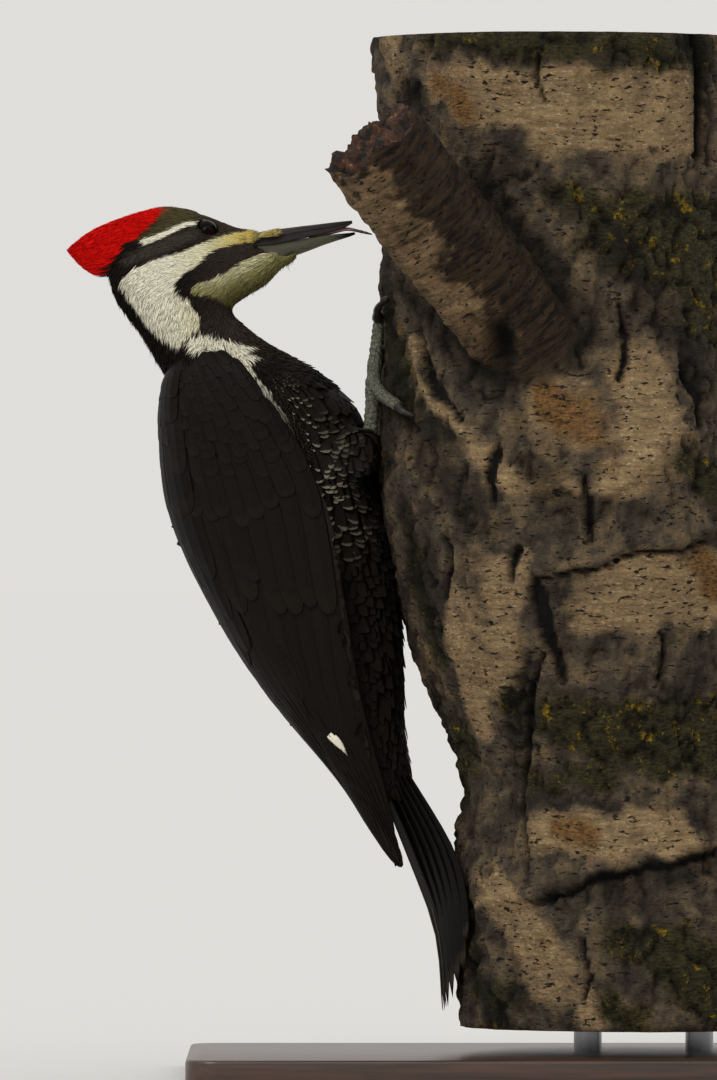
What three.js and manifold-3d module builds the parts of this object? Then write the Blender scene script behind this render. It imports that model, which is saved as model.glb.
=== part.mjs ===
// Female pileated woodpecker, life size, clinging to a cut length of aspen trunk on a display stand.
// Millimetres, +Z up. The bird faces +X and its right side is toward -Y. z = 0 is the underside of the base.
import * as THREE from "three";
import { mergeVertices } from "three/addons/utils/BufferGeometryUtils.js";
import Module from "manifold-3d";

const wasm = await Module();
wasm.setup();

// ---- General ----
const CUT_GAP = 0.3; // clearance between neighbouring pieces
const RIGHT = -1; // sign of y on the bird's right side
const LEFT = 1;

// ---- Stand ----
const BASE_LENGTH = 320;
const BASE_WIDTH = 210;
const BASE_THICKNESS = 10;
const BASE_CORNER = 14;
const BASE_BEVEL = 1.5;
const ROD_DIAMETER = 12;
const ROD_X = [12, 60];
const ROD_IN_BASE = 6;
const ROD_IN_LOG = 18;

// ---- Perch: trunk length and broken branch ----
const LOG_BOTTOM = 21;
const LOG_TOP = 446;
const LOG_FOOT_X = 36; // centre line at the lower cut
const LOG_RINGS = { levels: 17, sides: 20 };
const LOG_LEAN = 0.09; // sideways run per millimetre of height, toward -X
const LOG_RADIUS = 78;
const COLLAR_SWELL = 18.5; // the trunk thickens below the branch
const COLLAR_Z = 252;
const COLLAR_REACH = 72;
const LEDGE_SWELL = 5; // a lip of bark over the toes
const LEDGE_Z = 341;
const LEDGE_REACH = 13;
const WAIST_DEPTH = 11.5;
const WAIST_Z = 127;
const WAIST_REACH = 34;
const FLUTE_DEPTH = 1;
const STUB_ROOT = [8, -58, 289];
const STUB_END = [-81.5, -101, 399.5];
const STUB_RADIUS = 22.5;
const STUB_ROOT_RADIUS = 28;
const STUB_RAGGED = 5; // height of the splinters on the broken end
const STUB_LOBE = 0.04; // how far the branch is from round, as a share of its radius

// ---- Bird: sections of head, neck and trunk ----
// Each section runs from the back outline to the front outline of the bird (x, z) and has a half width.
const HEAD_SECTIONS = [
  { name: "chin tip", back: [-118.0, 356.5], front: [-112.4, 350.4], half: 3.6 },
  { name: "bill base", back: [-126.4, 362.6], front: [-117.2, 349.8], half: 6.8 },
  { name: "lores", back: [-138.9, 364.4], front: [-125.1, 341.0], half: 10.5 },
  { name: "eyes", back: [-152.7, 369.8], front: [-136.3, 333.9], half: 15.6 },
  { name: "crown", back: [-162.5, 370.6], front: [-139.9, 331.2], half: 18.2 },
  { name: "skull back", back: [-179.3, 364.2], front: [-141.6, 329.2], half: 18.8 },
];
const NECK_SECTIONS = [
  { name: "nape", back: [-194.2, 345.0], front: [-140.9, 327.2], half: 17.6 },
  { name: "hind neck", back: [-190.2, 332.5], front: [-138.4, 325.4], half: 17.4 },
  { name: "neck root", back: [-179.4, 318.2], front: [-130.6, 318.4], half: 20.5 },
];
const TRUNK_SECTIONS = [
  { name: "shoulders", back: [-172.6, 305.8], front: [-120.4, 312.0], half: 27.5 },
  { name: "upper breast", back: [-166.8, 295.4], front: [-101.9, 301.6], half: 34.0 },
  { name: "chest", back: [-166.4, 276.5], front: [-86.0, 285.6], half: 37.0 },
  { name: "belly", back: [-162.6, 246.4], front: [-75.5, 249.4], half: 36.5 },
  { name: "flank", back: [-149.4, 212.4], front: [-67.8, 206.0], half: 32.5 },
  { name: "rump", back: [-126.1, 177.6], front: [-66.4, 166.4], half: 24.5 },
  { name: "tail coverts", back: [-97.9, 142.3], front: [-65.4, 141.0], half: 16.0 },
  { name: "covert tips", back: [-80.0, 117.0], front: [-56.4, 117.0], half: 10.0 },
];
const CREST_SECTIONS = [
  { name: "forecrown", back: [-156.6, 372.0], front: [-155.8, 364.0], half: 6.0 },
  { name: "crown", back: [-168.6, 373.5], front: [-167.4, 360.8], half: 11.5 },
  { name: "hind crown", back: [-181.0, 371.0], front: [-181.0, 352.5], half: 12.5 },
  { name: "crest root", back: [-191.5, 367.4], front: [-192.4, 344.2], half: 10.5 },
  { name: "crest", back: [-201.5, 363.2], front: [-200.4, 344.0], half: 6.0 },
  { name: "crest tip", back: [-212.4, 355.4], front: [-211.8, 353.6], half: 0.9 },
];
const BODY_STEPS = 2; // rings between two sections
const BODY_SIDES = 20;
const BODY_FULLNESS = 2.25; // 2 is an ellipse; more is fuller in the corners
const HEAD_PLANE = [[-191.5, 348.6], [-141.2, 327.8]]; // head meets neck
const NECK_PLANE = [[-178.4, 312.0], [-125.5, 315.4]]; // neck meets trunk

// ---- Bird: bill, tongue, eyes ----
const UPPER_BILL = [
  { name: "root", back: [-130.0, 362.2], front: [-131.0, 355.4], half: 7.2 },
  { name: "nostril", back: [-122.0, 363.6], front: [-120.0, 357.6], half: 6.9 },
  { name: "middle", back: [-108.0, 365.4], front: [-105.6, 360.6], half: 4.3 },
  { name: "narrowing", back: [-97.0, 366.8], front: [-95.2, 363.2], half: 2.4 },
  { name: "chisel", back: [-89.1, 367.3], front: [-89.0, 366.1], half: 1.2 },
];
const LOWER_BILL = [
  { name: "root", back: [-130.0, 354.6], front: [-126.0, 347.6], half: 6.4 },
  { name: "chin", back: [-120.0, 357.0], front: [-116.0, 350.8], half: 6.0 },
  { name: "middle", back: [-106.0, 359.9], front: [-103.6, 355.8], half: 3.8 },
  { name: "narrowing", back: [-97.0, 361.4], front: [-95.6, 358.6], half: 2.1 },
  { name: "chisel", back: [-88.0, 362.3], front: [-87.9, 361.2], half: 1.1 },
];
const BILL_RINGS = { sides: 12, steps: 2 };
const TONGUE_PATH = [[-104, 361.0], [-98, 362.4], [-91.5, 363.7], [-85.5, 362.6], [-80.0, 361.3]];
const TONGUE_RADIUS = 0.75;
const TONGUE_TIP_RADIUS = 0.4;
const EYE_CENTRE = [-151.9, 362.4];
const EYE_RADIUS = 5.0;
const EYE_SIDE = 8.9; // from the middle plane to the eyeball's centre

// ---- Bird: wings ----
// Each section runs from the wing's back edge to its front edge (x, z) at distances y from the middle.
const WING_SECTIONS = [
  { name: "shoulder", back: [-163.4, 309.0], backY: 15, front: [-146.0, 313.0], frontY: 30 },
  { name: "wrist", back: [-169.8, 296.0], backY: 11, front: [-134.4, 303.2], frontY: 38.5 },
  { name: "coverts", back: [-171.2, 276.0], backY: 8, front: [-118.6, 282.0], frontY: 43 },
  { name: "forearm", back: [-167.4, 244.0], backY: 5, front: [-101.6, 250.0], frontY: 43.5 },
  { name: "tertials", back: [-153.2, 210.0], backY: 4, front: [-94.0, 205.0], frontY: 41 },
  { name: "secondaries", back: [-128.2, 168.6], backY: 3, front: [-87.4, 162.0], frontY: 32 },
  { name: "primaries", back: [-95.6, 128.8], backY: 4, front: [-78.6, 124.0], frontY: 20.5 },
  { name: "outer primaries", back: [-81.6, 107.4], backY: 7, front: [-73.8, 104.4], frontY: 15.5 },
  { name: "wing tip", back: [-67.9, 88.8], backY: 10.4, front: [-66.4, 88.0], frontY: 11.8 },
];
const WING_THICKNESS = 8; // at its fullest, halfway from shoulder to tip
const WING_EDGE = 1.1;
const WING_TIP_THICKNESS = 1.6;
const WING_FULL_NEAR_SHOULDER = 1.4; // above 1, the wing is fullest nearer its shoulder
const WING_BLUNTNESS = 0.7; // below 1, the section stays thick toward its edges
const WING_ARC_POINTS = 7;
const WING_STEPS = 2;

// ---- Bird: tail ----
const TAIL_PAIRS = 6;
const TAIL_ROOT = [-78.0, 127.0]; // x, z of the middle pair
const TAIL_BEND = [-65.0, 95.0];
const TAIL_ROOT_FAN = 1.7; // sideways step from feather to feather at the root
const TAIL_TIP_FAN = 8.6; // the same at the tips
const TAIL_ROOT_DROP = 2.4; // each pair lies deeper, toward the trunk
const TAIL_BEND_DROP = 3.4;
const TAIL_LIFT = 6.2; // middle feathers above the bark
const TAIL_LIFT_LOSS = 0.75;
const TAIL_TIP_Z = 27.5;
const TAIL_TIP_STEP = [0, 2, 6, 11, 17, 30]; // how much shorter each pair is
const TAIL_REST_SHARE = 0.5; // where between bend and tip each feather meets the bark
const FEATHER_HALF = 8.4;
const FEATHER_PROFILE = [[-1, 0.3], [0, 1], [1, 0.3], [1, -0.3], [0, -1], [-1, -0.3]]; // across, height
const FEATHER_BOW = 2.2; // edges drop toward the bark
const FEATHER_RINGS = 4;
const FEATHER_ROOT_SHARE = 0.55; // width at the root, as a share of the full width
const FEATHER_FULL_AT = 0.62; // where the feather reaches its full width
const FEATHER_TAPER_AT = 0.75; // where the point begins
const FEATHER_POINT_SHARE = 0.08; // width left at the very tip
const TAIL_ROOT_FACING = 30; // roots face more to the back than the bark below them does

// ---- Bird: legs ----
const THIGH_ROOT = [-104, 21, 266];
const THIGH_RADIUS = 14;
const THIGH_MIDDLE_RADIUS = 12;
const THIGH_END_RADIUS = 8.5;
const THIGH_END_Z = 268;
const THIGH_END_ANGLE = 18;
const THIGH_END_LIFT = 1;
const HEEL_Z = 271;
const HEEL_ANGLE = 14;
const HEEL_LIFT = 4;
const FOOT_Z = 298;
const FOOT_ANGLE = 12;
const FOOT_LIFT = 3.8;
const TARSUS_RADIUS = 2.8;
const HEEL_RADIUS = 3.2;
const ANKLE_RADIUS = 3;
const PAD_RADIUS = 3.3;
const TOE_RADIUS = 2.6;
const TOE_END_RADIUS = 2.1;
const TOE_CLEAR = 0.45; // between toe and bark
const TOE_ARCH = 0.7; // extra lift of the toe's middle
const TOES = [
  { name: "inner", angle: 4, z: 314, clawAngle: 8, clawZ: 322 },
  { name: "middle", angle: 10, z: 324.5, clawAngle: 22, clawZ: 334 },
  { name: "outer", angle: 32, z: 287, clawAngle: 37.5, clawZ: 283 },
  { name: "hind", angle: 5, z: 289, clawAngle: 3.5, clawZ: 281 },
];
const CLAW_RADIUS = 1.8;
const CLAW_TIP_RADIUS = 0.32;
const CLAW_RISE = 3.6;
const CLAW_ROOT_LIFT = 0.3; // claws leave the toe a little above its middle
const CLAW_TIP_LIFT = 0.15; // over the cut gap, so that the point doesn't enter the bark
const LIMB_SIDES = 8;

const colour = (hex, roughness, metalness = 0) => ({ color: hex, roughness, metalness });
const LOOKS = {
  black_plumage: colour("#221d1a", 0.75),
  red_crest_plumage: colour("#b0100c", 0.7),
  horn_bill: colour("#3a3130", 0.4),
  lower_bill_horn: colour("#75725f", 0.42),
  tongue_flesh: colour("#5a3a34", 0.5),
  eye_gloss: colour("#120d0b", 0.08),
  grey_foot_skin: colour("#45464a", 0.6),
  claw_horn: colour("#2a2625", 0.35),
  aspen_bark: colour("#8a8473", 0.9),
  broken_wood: colour("#8f857a", 0.9),
  dark_stained_wood: colour("#3a2a20", 0.45),
  brushed_steel_rod: colour("#b4b6b8", 0.35, 1),
};

const radians = THREE.MathUtils.degToRad;
const point = (x, y, z) => new THREE.Vector3(x, y, z);
const bump = (value, centre, reach) => Math.exp(-(((value - centre) / reach) ** 2));

// A stack of equal rings as one closed geometry, with a fan over each end and its faces turned outward.
function closeRings(rings) {
  const sides = rings[0].length;
  const points = rings.flat();
  const faces = [];
  for (let i = 0; i + 1 < rings.length; i++) {
    for (let j = 0; j < sides; j++) {
      const a = i * sides + j;
      const b = i * sides + ((j + 1) % sides);
      faces.push([a, b, b + sides], [a, b + sides, a + sides]);
    }
  }
  for (const end of [0, rings.length - 1]) {
    const middle = rings[end].reduce((sum, p) => sum.add(p), point(0, 0, 0)).divideScalar(sides);
    points.push(middle);
    for (let j = 0; j < sides; j++) {
      const a = end * sides + j;
      const b = end * sides + ((j + 1) % sides);
      faces.push(end === 0 ? [points.length - 1, b, a] : [points.length - 1, a, b]);
    }
  }
  const volume = faces.reduce((sum, [a, b, c]) => {
    return sum + points[a].dot(points[b].clone().cross(points[c]));
  }, 0);
  const order = volume < 0 ? ([a, b, c]) => [a, c, b] : (face) => face;
  const geometry = new THREE.BufferGeometry().setFromPoints(points);
  geometry.setIndex(faces.flatMap(order));
  return geometry;
}

// A geometry as a solid that can be joined and cut.
function solid(geometry) {
  const bare = new THREE.BufferGeometry();
  bare.setAttribute("position", geometry.getAttribute("position"));
  bare.setIndex(geometry.getIndex());
  const merged = mergeVertices(bare, 1e-4);
  return new wasm.Manifold(
    new wasm.Mesh({
      numProp: 3,
      vertProperties: new Float32Array(merged.getAttribute("position").array),
      triVerts: new Uint32Array(merged.getIndex().array),
    }),
  );
}

function join(solids) {
  return solids.reduce((sum, next) => sum.add(next));
}

function cut(body, ...tools) {
  return tools.reduce((rest, tool) => rest.subtract(tool), body);
}

// ---- Lofted flesh: rings that run through named sections ----
function ringAt(sections, t, sides, grow) {
  const back = new THREE.CatmullRomCurve3(sections.map((s) => point(s.back[0], s.half, s.back[1])));
  const front = new THREE.CatmullRomCurve3(sections.map((s) => point(s.front[0], s.half, s.front[1])));
  const b = back.getPoint(t);
  const f = front.getPoint(t);
  const half = b.y + grow;
  const centre = point((b.x + f.x) / 2, 0, (b.z + f.z) / 2);
  const up = point(b.x - f.x, 0, b.z - f.z);
  const depth = up.length() / 2 + grow;
  up.normalize();
  const ring = [];
  for (let j = 0; j < sides; j++) {
    const angle = (2 * Math.PI * j) / sides;
    const c = Math.cos(angle);
    const s = Math.sin(angle);
    const along = Math.sign(c) * Math.abs(c) ** (2 / BODY_FULLNESS) * depth;
    const across = Math.sign(s) * Math.abs(s) ** (2 / BODY_FULLNESS) * half;
    ring.push(centre.clone().addScaledVector(up, along).add(point(0, across, 0)));
  }
  return ring;
}

function loft(sections, { sides = BODY_SIDES, steps = BODY_STEPS, grow = 0 } = {}) {
  const count = (sections.length - 1) * steps;
  const rings = [];
  for (let i = 0; i <= count; i++) {
    rings.push(ringAt(sections, i / count, sides, grow));
  }
  return solid(closeRings(rings));
}

// A round limb along a path of points, with a radius for each ring.
function limb(path, radii, { sides = LIMB_SIDES, rings = 8, grow = 0 } = {}) {
  const curve = new THREE.CatmullRomCurve3(path);
  const sizes = new THREE.CatmullRomCurve3(radii.map((r, i) => point(i, r, 0)));
  const stack = [];
  for (let i = 0; i <= rings; i++) {
    const t = i / rings;
    const at = curve.getPoint(t);
    const ahead = curve.getTangent(t);
    const across = point(0, 0, 1).cross(ahead);
    if (across.length() < 0.2) {
      across.copy(point(0, 1, 0).cross(ahead));
    }
    across.normalize();
    const over = ahead.clone().cross(across);
    const radius = sizes.getPoint(t).y + grow;
    const shift = grow * (2 * t - 1);
    const ring = [];
    for (let j = 0; j < sides; j++) {
      const angle = (2 * Math.PI * j) / sides;
      const p = at.clone().addScaledVector(ahead, shift);
      p.addScaledVector(across, radius * Math.cos(angle));
      p.addScaledVector(over, radius * Math.sin(angle));
      ring.push(p);
    }
    stack.push(ring);
  }
  return solid(closeRings(stack));
}

function ball(centre, radius, across = 12, down = 7) {
  return solid(new THREE.SphereGeometry(radius, across, down).translate(centre.x, centre.y, centre.z));
}

// Everything on the lower side of a cutting plane that runs across the bird through two points (x, z).
function below([[ax, az], [bx, bz]], gap) {
  const size = 400;
  const slab = new THREE.BoxGeometry(size, size, size);
  slab.translate(0, 0, -size / 2 + gap);
  slab.rotateY(-Math.atan2(bz - az, bx - ax));
  slab.translate((ax + bx) / 2, 0, (az + bz) / 2);
  return solid(slab);
}

// ---- Perch ----
const logCentreX = (z) => LOG_FOOT_X - LOG_LEAN * (z - LOG_BOTTOM);

// Radius of the trunk at an angle from -X toward -Y.
function logRadius(angle, z) {
  const towardStub = 0.45 + 0.55 * Math.cos(angle - radians(35));
  const towardBird = 0.5 + 0.5 * Math.cos(angle);
  const flute = FLUTE_DEPTH * Math.sin(5 * angle + z / 60);
  const swell = COLLAR_SWELL * Math.max(0, towardStub) * bump(z, COLLAR_Z, COLLAR_REACH);
  const ledge = LEDGE_SWELL * towardBird * bump(z, LEDGE_Z, LEDGE_REACH);
  const waist = WAIST_DEPTH * towardBird * bump(z, WAIST_Z, WAIST_REACH);
  return LOG_RADIUS + flute + swell + ledge - waist;
}

// A point over the bark: angle in degrees from -X toward -Y, height, and lift off the surface.
function onBark(degrees, z, lift) {
  const angle = radians(degrees);
  const reach = logRadius(angle, z) + lift;
  return point(logCentreX(z) - reach * Math.cos(angle), -reach * Math.sin(angle), z);
}

function trunkLength(grow) {
  const { levels, sides } = LOG_RINGS;
  const rings = [];
  for (let i = 0; i < levels; i++) {
    const z = LOG_BOTTOM + ((LOG_TOP - LOG_BOTTOM) * i) / (levels - 1);
    const ring = [];
    for (let j = 0; j < sides; j++) {
      ring.push(onBark((360 * j) / sides, z, grow));
    }
    rings.push(ring);
  }
  return solid(closeRings(rings));
}

function brokenBranch() {
  const levels = 6;
  const sides = 20;
  const root = point(...STUB_ROOT);
  const end = point(...STUB_END);
  const ahead = end.clone().sub(root);
  const length = ahead.length();
  ahead.normalize();
  const across = point(0, 0, 1).cross(ahead).normalize();
  const over = ahead.clone().cross(across);
  const rings = [];
  for (let i = 0; i < levels; i++) {
    const t = i / (levels - 1);
    const radius = STUB_RADIUS + (STUB_ROOT_RADIUS - STUB_RADIUS) * (1 - t) ** 3;
    const ring = [];
    for (let j = 0; j < sides; j++) {
      const angle = (2 * Math.PI * j) / sides;
      const splinter = t === 1 ? STUB_RAGGED * Math.sin(3 * angle) * Math.cos(7 * angle) : 0;
      const lobe = radius * (1 + STUB_LOBE * Math.sin(3 * angle + 2 * t));
      const p = root.clone().addScaledVector(ahead, t * length + splinter);
      p.addScaledVector(across, lobe * Math.cos(angle));
      p.addScaledVector(over, lobe * Math.sin(angle));
      ring.push(p);
    }
    rings.push(ring);
  }
  return solid(closeRings(rings));
}

// ---- Stand ----
function rod(x, grow) {
  const bottom = BASE_THICKNESS - ROD_IN_BASE - grow;
  const top = LOG_BOTTOM + ROD_IN_LOG + grow;
  const radius = ROD_DIAMETER / 2 + grow;
  const geometry = new THREE.CylinderGeometry(radius, radius, top - bottom, 16);
  geometry.rotateX(Math.PI / 2);
  geometry.translate(x, 0, (top + bottom) / 2);
  return solid(geometry);
}

function standBase() {
  const halfX = BASE_LENGTH / 2 - BASE_BEVEL;
  const halfY = BASE_WIDTH / 2 - BASE_BEVEL;
  const shape = new THREE.Shape();
  shape.moveTo(-halfX + BASE_CORNER, -halfY);
  shape.lineTo(halfX - BASE_CORNER, -halfY);
  shape.absarc(halfX - BASE_CORNER, -halfY + BASE_CORNER, BASE_CORNER, -Math.PI / 2, 0);
  shape.lineTo(halfX, halfY - BASE_CORNER);
  shape.absarc(halfX - BASE_CORNER, halfY - BASE_CORNER, BASE_CORNER, 0, Math.PI / 2);
  shape.lineTo(-halfX + BASE_CORNER, halfY);
  shape.absarc(-halfX + BASE_CORNER, halfY - BASE_CORNER, BASE_CORNER, Math.PI / 2, Math.PI);
  shape.lineTo(-halfX, -halfY + BASE_CORNER);
  shape.absarc(-halfX + BASE_CORNER, -halfY + BASE_CORNER, BASE_CORNER, Math.PI, 1.5 * Math.PI);
  const board = new THREE.ExtrudeGeometry(shape, {
    depth: BASE_THICKNESS - 2 * BASE_BEVEL,
    bevelThickness: BASE_BEVEL,
    bevelSize: BASE_BEVEL,
    bevelSegments: 1,
    curveSegments: 4,
  });
  board.translate(0, 0, BASE_BEVEL);
  return solid(board);
}

// ---- Wing: a curved plate that wraps the back and side ----
function wing(side, grow) {
  const pick = (edge, edgeY) =>
    new THREE.CatmullRomCurve3(WING_SECTIONS.map((s) => point(s[edge][0], s[edgeY], s[edge][1])));
  const backEdge = pick("back", "backY");
  const frontEdge = pick("front", "frontY");
  const count = (WING_SECTIONS.length - 1) * WING_STEPS;
  const rings = [];
  for (let i = 0; i <= count; i++) {
    const t = i / count;
    const b = backEdge.getPoint(t);
    const f = frontEdge.getPoint(t);
    const hub = point(f.x, b.y, (b.z + f.z) / 2);
    const fullShare = Math.sin(Math.PI * (1 - t) ** WING_FULL_NEAR_SHOULDER);
    const fullest = WING_TIP_THICKNESS + (WING_THICKNESS - WING_TIP_THICKNESS) * fullShare;
    const outer = [];
    const inner = [];
    for (let j = 0; j < WING_ARC_POINTS; j++) {
      const s = j / (WING_ARC_POINTS - 1);
      const angle = (s * Math.PI) / 2;
      const arm = b.clone().sub(hub).multiplyScalar(Math.cos(angle));
      arm.addScaledVector(f.clone().sub(hub), Math.sin(angle));
      const thick = Math.max(WING_EDGE, fullest * Math.sin(Math.PI * s) ** WING_BLUNTNESS);
      const out = point(arm.x, Math.abs(arm.y), 0).normalize();
      outer.push(hub.clone().add(arm).addScaledVector(out, grow));
      inner.push(hub.clone().add(arm).addScaledVector(out, -thick - grow));
    }
    const ring = outer.concat(inner.reverse());
    ring.forEach((p) => p.setY(p.y * side));
    rings.push(ring);
  }
  return solid(closeRings(rings));
}

// ---- Tail: stiff pointed feathers that fan out and press on the bark ----
function tailFeather(side, pair) {
  const tipZ = TAIL_TIP_Z + TAIL_TIP_STEP[pair];
  const lift = TAIL_LIFT - TAIL_LIFT_LOSS * pair;
  const sideways = (z) => {
    const down = (TAIL_ROOT[1] - z) / (TAIL_ROOT[1] - TAIL_TIP_Z);
    return side * (pair + 0.5) * (TAIL_ROOT_FAN + (TAIL_TIP_FAN - TAIL_ROOT_FAN) * down);
  };
  const barkAt = (z) => {
    const reach = logRadius(0, z) + lift;
    const y = sideways(z);
    return point(logCentreX(z) - Math.sqrt(reach * reach - y * y), y, z);
  };
  const restZ = TAIL_BEND[1] + (tipZ - TAIL_BEND[1]) * TAIL_REST_SHARE;
  const path = new THREE.CatmullRomCurve3([
    point(TAIL_ROOT[0] + TAIL_ROOT_DROP * pair, sideways(TAIL_ROOT[1]), TAIL_ROOT[1]),
    point(TAIL_BEND[0] + TAIL_BEND_DROP * pair, sideways(TAIL_BEND[1]), TAIL_BEND[1]),
    barkAt(restZ),
    barkAt(tipZ),
  ]);
  const rings = [];
  for (let i = 0; i <= FEATHER_RINGS; i++) {
    const t = i / FEATHER_RINGS;
    const at = path.getPoint(t);
    const ahead = path.getTangent(t);
    const away = point(at.x - logCentreX(at.z) - TAIL_ROOT_FACING * (1 - t), at.y, 0).normalize();
    const across = ahead.clone().cross(away).normalize();
    const up = across.clone().cross(ahead);
    const pointed = Math.max(0, (t - FEATHER_TAPER_AT) / (1 - FEATHER_TAPER_AT));
    const taper = Math.max(FEATHER_POINT_SHARE, Math.cos((pointed * Math.PI) / 2));
    const widening = Math.sin((Math.min(1, t / FEATHER_FULL_AT) * Math.PI) / 2);
    const half = FEATHER_HALF * (FEATHER_ROOT_SHARE + (1 - FEATHER_ROOT_SHARE) * widening) * taper;
    const ring = [];
    for (const [s, height] of FEATHER_PROFILE) {
      const bow = FEATHER_BOW * taper * s * s;
      const p = at.clone().addScaledVector(across, half * s);
      ring.push(p.addScaledVector(up, height - bow));
    }
    rings.push(ring);
  }
  return solid(closeRings(rings));
}

function tail() {
  const feathers = [];
  for (let pair = 0; pair < TAIL_PAIRS; pair++) {
    feathers.push(tailFeather(RIGHT, pair), tailFeather(LEFT, pair));
  }
  return join(feathers);
}

// ---- Legs ----
function thigh(side, grow) {
  const root = point(THIGH_ROOT[0], side * THIGH_ROOT[1], THIGH_ROOT[2]);
  const end = onBark(-side * THIGH_END_ANGLE, THIGH_END_Z, THIGH_END_LIFT);
  const middle = root.clone().lerp(end, 0.5);
  const radii = [THIGH_RADIUS, THIGH_MIDDLE_RADIUS, THIGH_END_RADIUS];
  return limb([root, middle, end], radii, { sides: 10, rings: 3, grow });
}

function toe(side, { angle, z }) {
  const lift = TOE_RADIUS + TOE_CLEAR;
  const turn = -side;
  const start = onBark(turn * FOOT_ANGLE, FOOT_Z, FOOT_LIFT);
  const middle = onBark(turn * (FOOT_ANGLE + angle) * 0.5, (FOOT_Z + z) / 2, lift + TOE_ARCH);
  const end = onBark(turn * angle, z, TOE_END_RADIUS + TOE_CLEAR);
  return limb([start, middle, end], [TOE_RADIUS, TOE_RADIUS, TOE_END_RADIUS], { sides: 6, rings: 4 });
}

function claw(side, { angle, z, clawAngle, clawZ }, grow) {
  const turn = -side;
  const start = onBark(turn * angle, z, TOE_END_RADIUS + TOE_CLEAR + CLAW_ROOT_LIFT);
  const top = onBark(turn * (angle + clawAngle) * 0.5, (z + clawZ) / 2, CLAW_RISE);
  const tip = onBark(turn * clawAngle, clawZ, CLAW_TIP_RADIUS + CUT_GAP + CLAW_TIP_LIFT);
  return limb([start, top, tip], [CLAW_RADIUS, CLAW_RADIUS * 0.8, CLAW_TIP_RADIUS], {
    sides: 6,
    rings: 4,
    grow,
  });
}

function foot(side) {
  const turn = -side;
  const heel = onBark(turn * HEEL_ANGLE, HEEL_Z, HEEL_LIFT);
  const ankle = onBark(turn * FOOT_ANGLE, FOOT_Z, FOOT_LIFT);
  const middle = heel.clone().lerp(ankle, 0.5);
  const radii = [HEEL_RADIUS, TARSUS_RADIUS, ANKLE_RADIUS];
  const tarsus = limb([heel, middle, ankle], radii, { sides: 8, rings: 3 });
  const pad = ball(ankle, PAD_RADIUS, 8, 5);
  return join([tarsus, pad, ...TOES.map((t) => toe(side, t))]);
}

// ---- Assemble: each piece is cut back from its neighbours ----
const logGrown = trunkLength(CUT_GAP);
const rods = ROD_X.map((x) => rod(x, 0));
const rodHoles = ROD_X.map((x) => rod(x, CUT_GAP));
const perchLog = cut(trunkLength(0), ...rodHoles);
const perchStub = cut(brokenBranch(), logGrown);
const base = cut(standBase(), ...rodHoles);

const bodySections = [...HEAD_SECTIONS, ...NECK_SECTIONS, ...TRUNK_SECTIONS];
const body = cut(loft(bodySections), logGrown);
const bodyGrown = loft(bodySections, { grow: CUT_GAP });
const upperBill = loft(UPPER_BILL, BILL_RINGS);
const lowerBill = loft(LOWER_BILL, BILL_RINGS);
const billHole = join([
  loft(UPPER_BILL, { ...BILL_RINGS, grow: CUT_GAP }),
  loft(LOWER_BILL, { ...BILL_RINGS, grow: CUT_GAP }),
]);
const tonguePath = TONGUE_PATH.map(([x, z]) => point(x, 0, z));
const tongueRadii = [TONGUE_RADIUS, TONGUE_RADIUS, TONGUE_RADIUS, TONGUE_TIP_RADIUS, TONGUE_TIP_RADIUS];
const tongueShape = (grow) => limb(tonguePath, tongueRadii, { sides: 6, rings: 8, grow });
const eyeAt = (side) => point(EYE_CENTRE[0], side * EYE_SIDE, EYE_CENTRE[1]);
const eyes = { left: ball(eyeAt(LEFT), EYE_RADIUS), right: ball(eyeAt(RIGHT), EYE_RADIUS) };
const sockets = [LEFT, RIGHT].map((side) => ball(eyeAt(side), EYE_RADIUS + CUT_GAP));

const head = cut(body, below(HEAD_PLANE, CUT_GAP / 2), billHole, ...sockets);
const neck = cut(body.intersect(below(HEAD_PLANE, -CUT_GAP / 2)), below(NECK_PLANE, CUT_GAP / 2));
const trunk = body.intersect(below(NECK_PLANE, -CUT_GAP / 2));
const crest = cut(loft(CREST_SECTIONS, { sides: 16, steps: 2 }), bodyGrown);
const wings = { left: cut(wing(LEFT, 0), bodyGrown), right: cut(wing(RIGHT, 0), bodyGrown) };
const wingsGrown = [LEFT, RIGHT].map((side) => wing(side, CUT_GAP));
const tailFan = cut(tail(), bodyGrown, logGrown, ...wingsGrown);

const bird = new THREE.Group();
bird.name = "pileated_woodpecker_female";

function place(name, look, shape) {
  const mesh = shape.getMesh();
  const geometry = new THREE.BufferGeometry();
  geometry.setAttribute("position", new THREE.BufferAttribute(mesh.vertProperties, 3));
  geometry.setIndex(new THREE.BufferAttribute(mesh.triVerts, 1));
  const faceted = geometry.toNonIndexed();
  faceted.computeVertexNormals();
  const piece = new THREE.Mesh(faceted, new THREE.MeshStandardMaterial(LOOKS[look]));
  piece.name = name;
  bird.add(piece);
}

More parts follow.
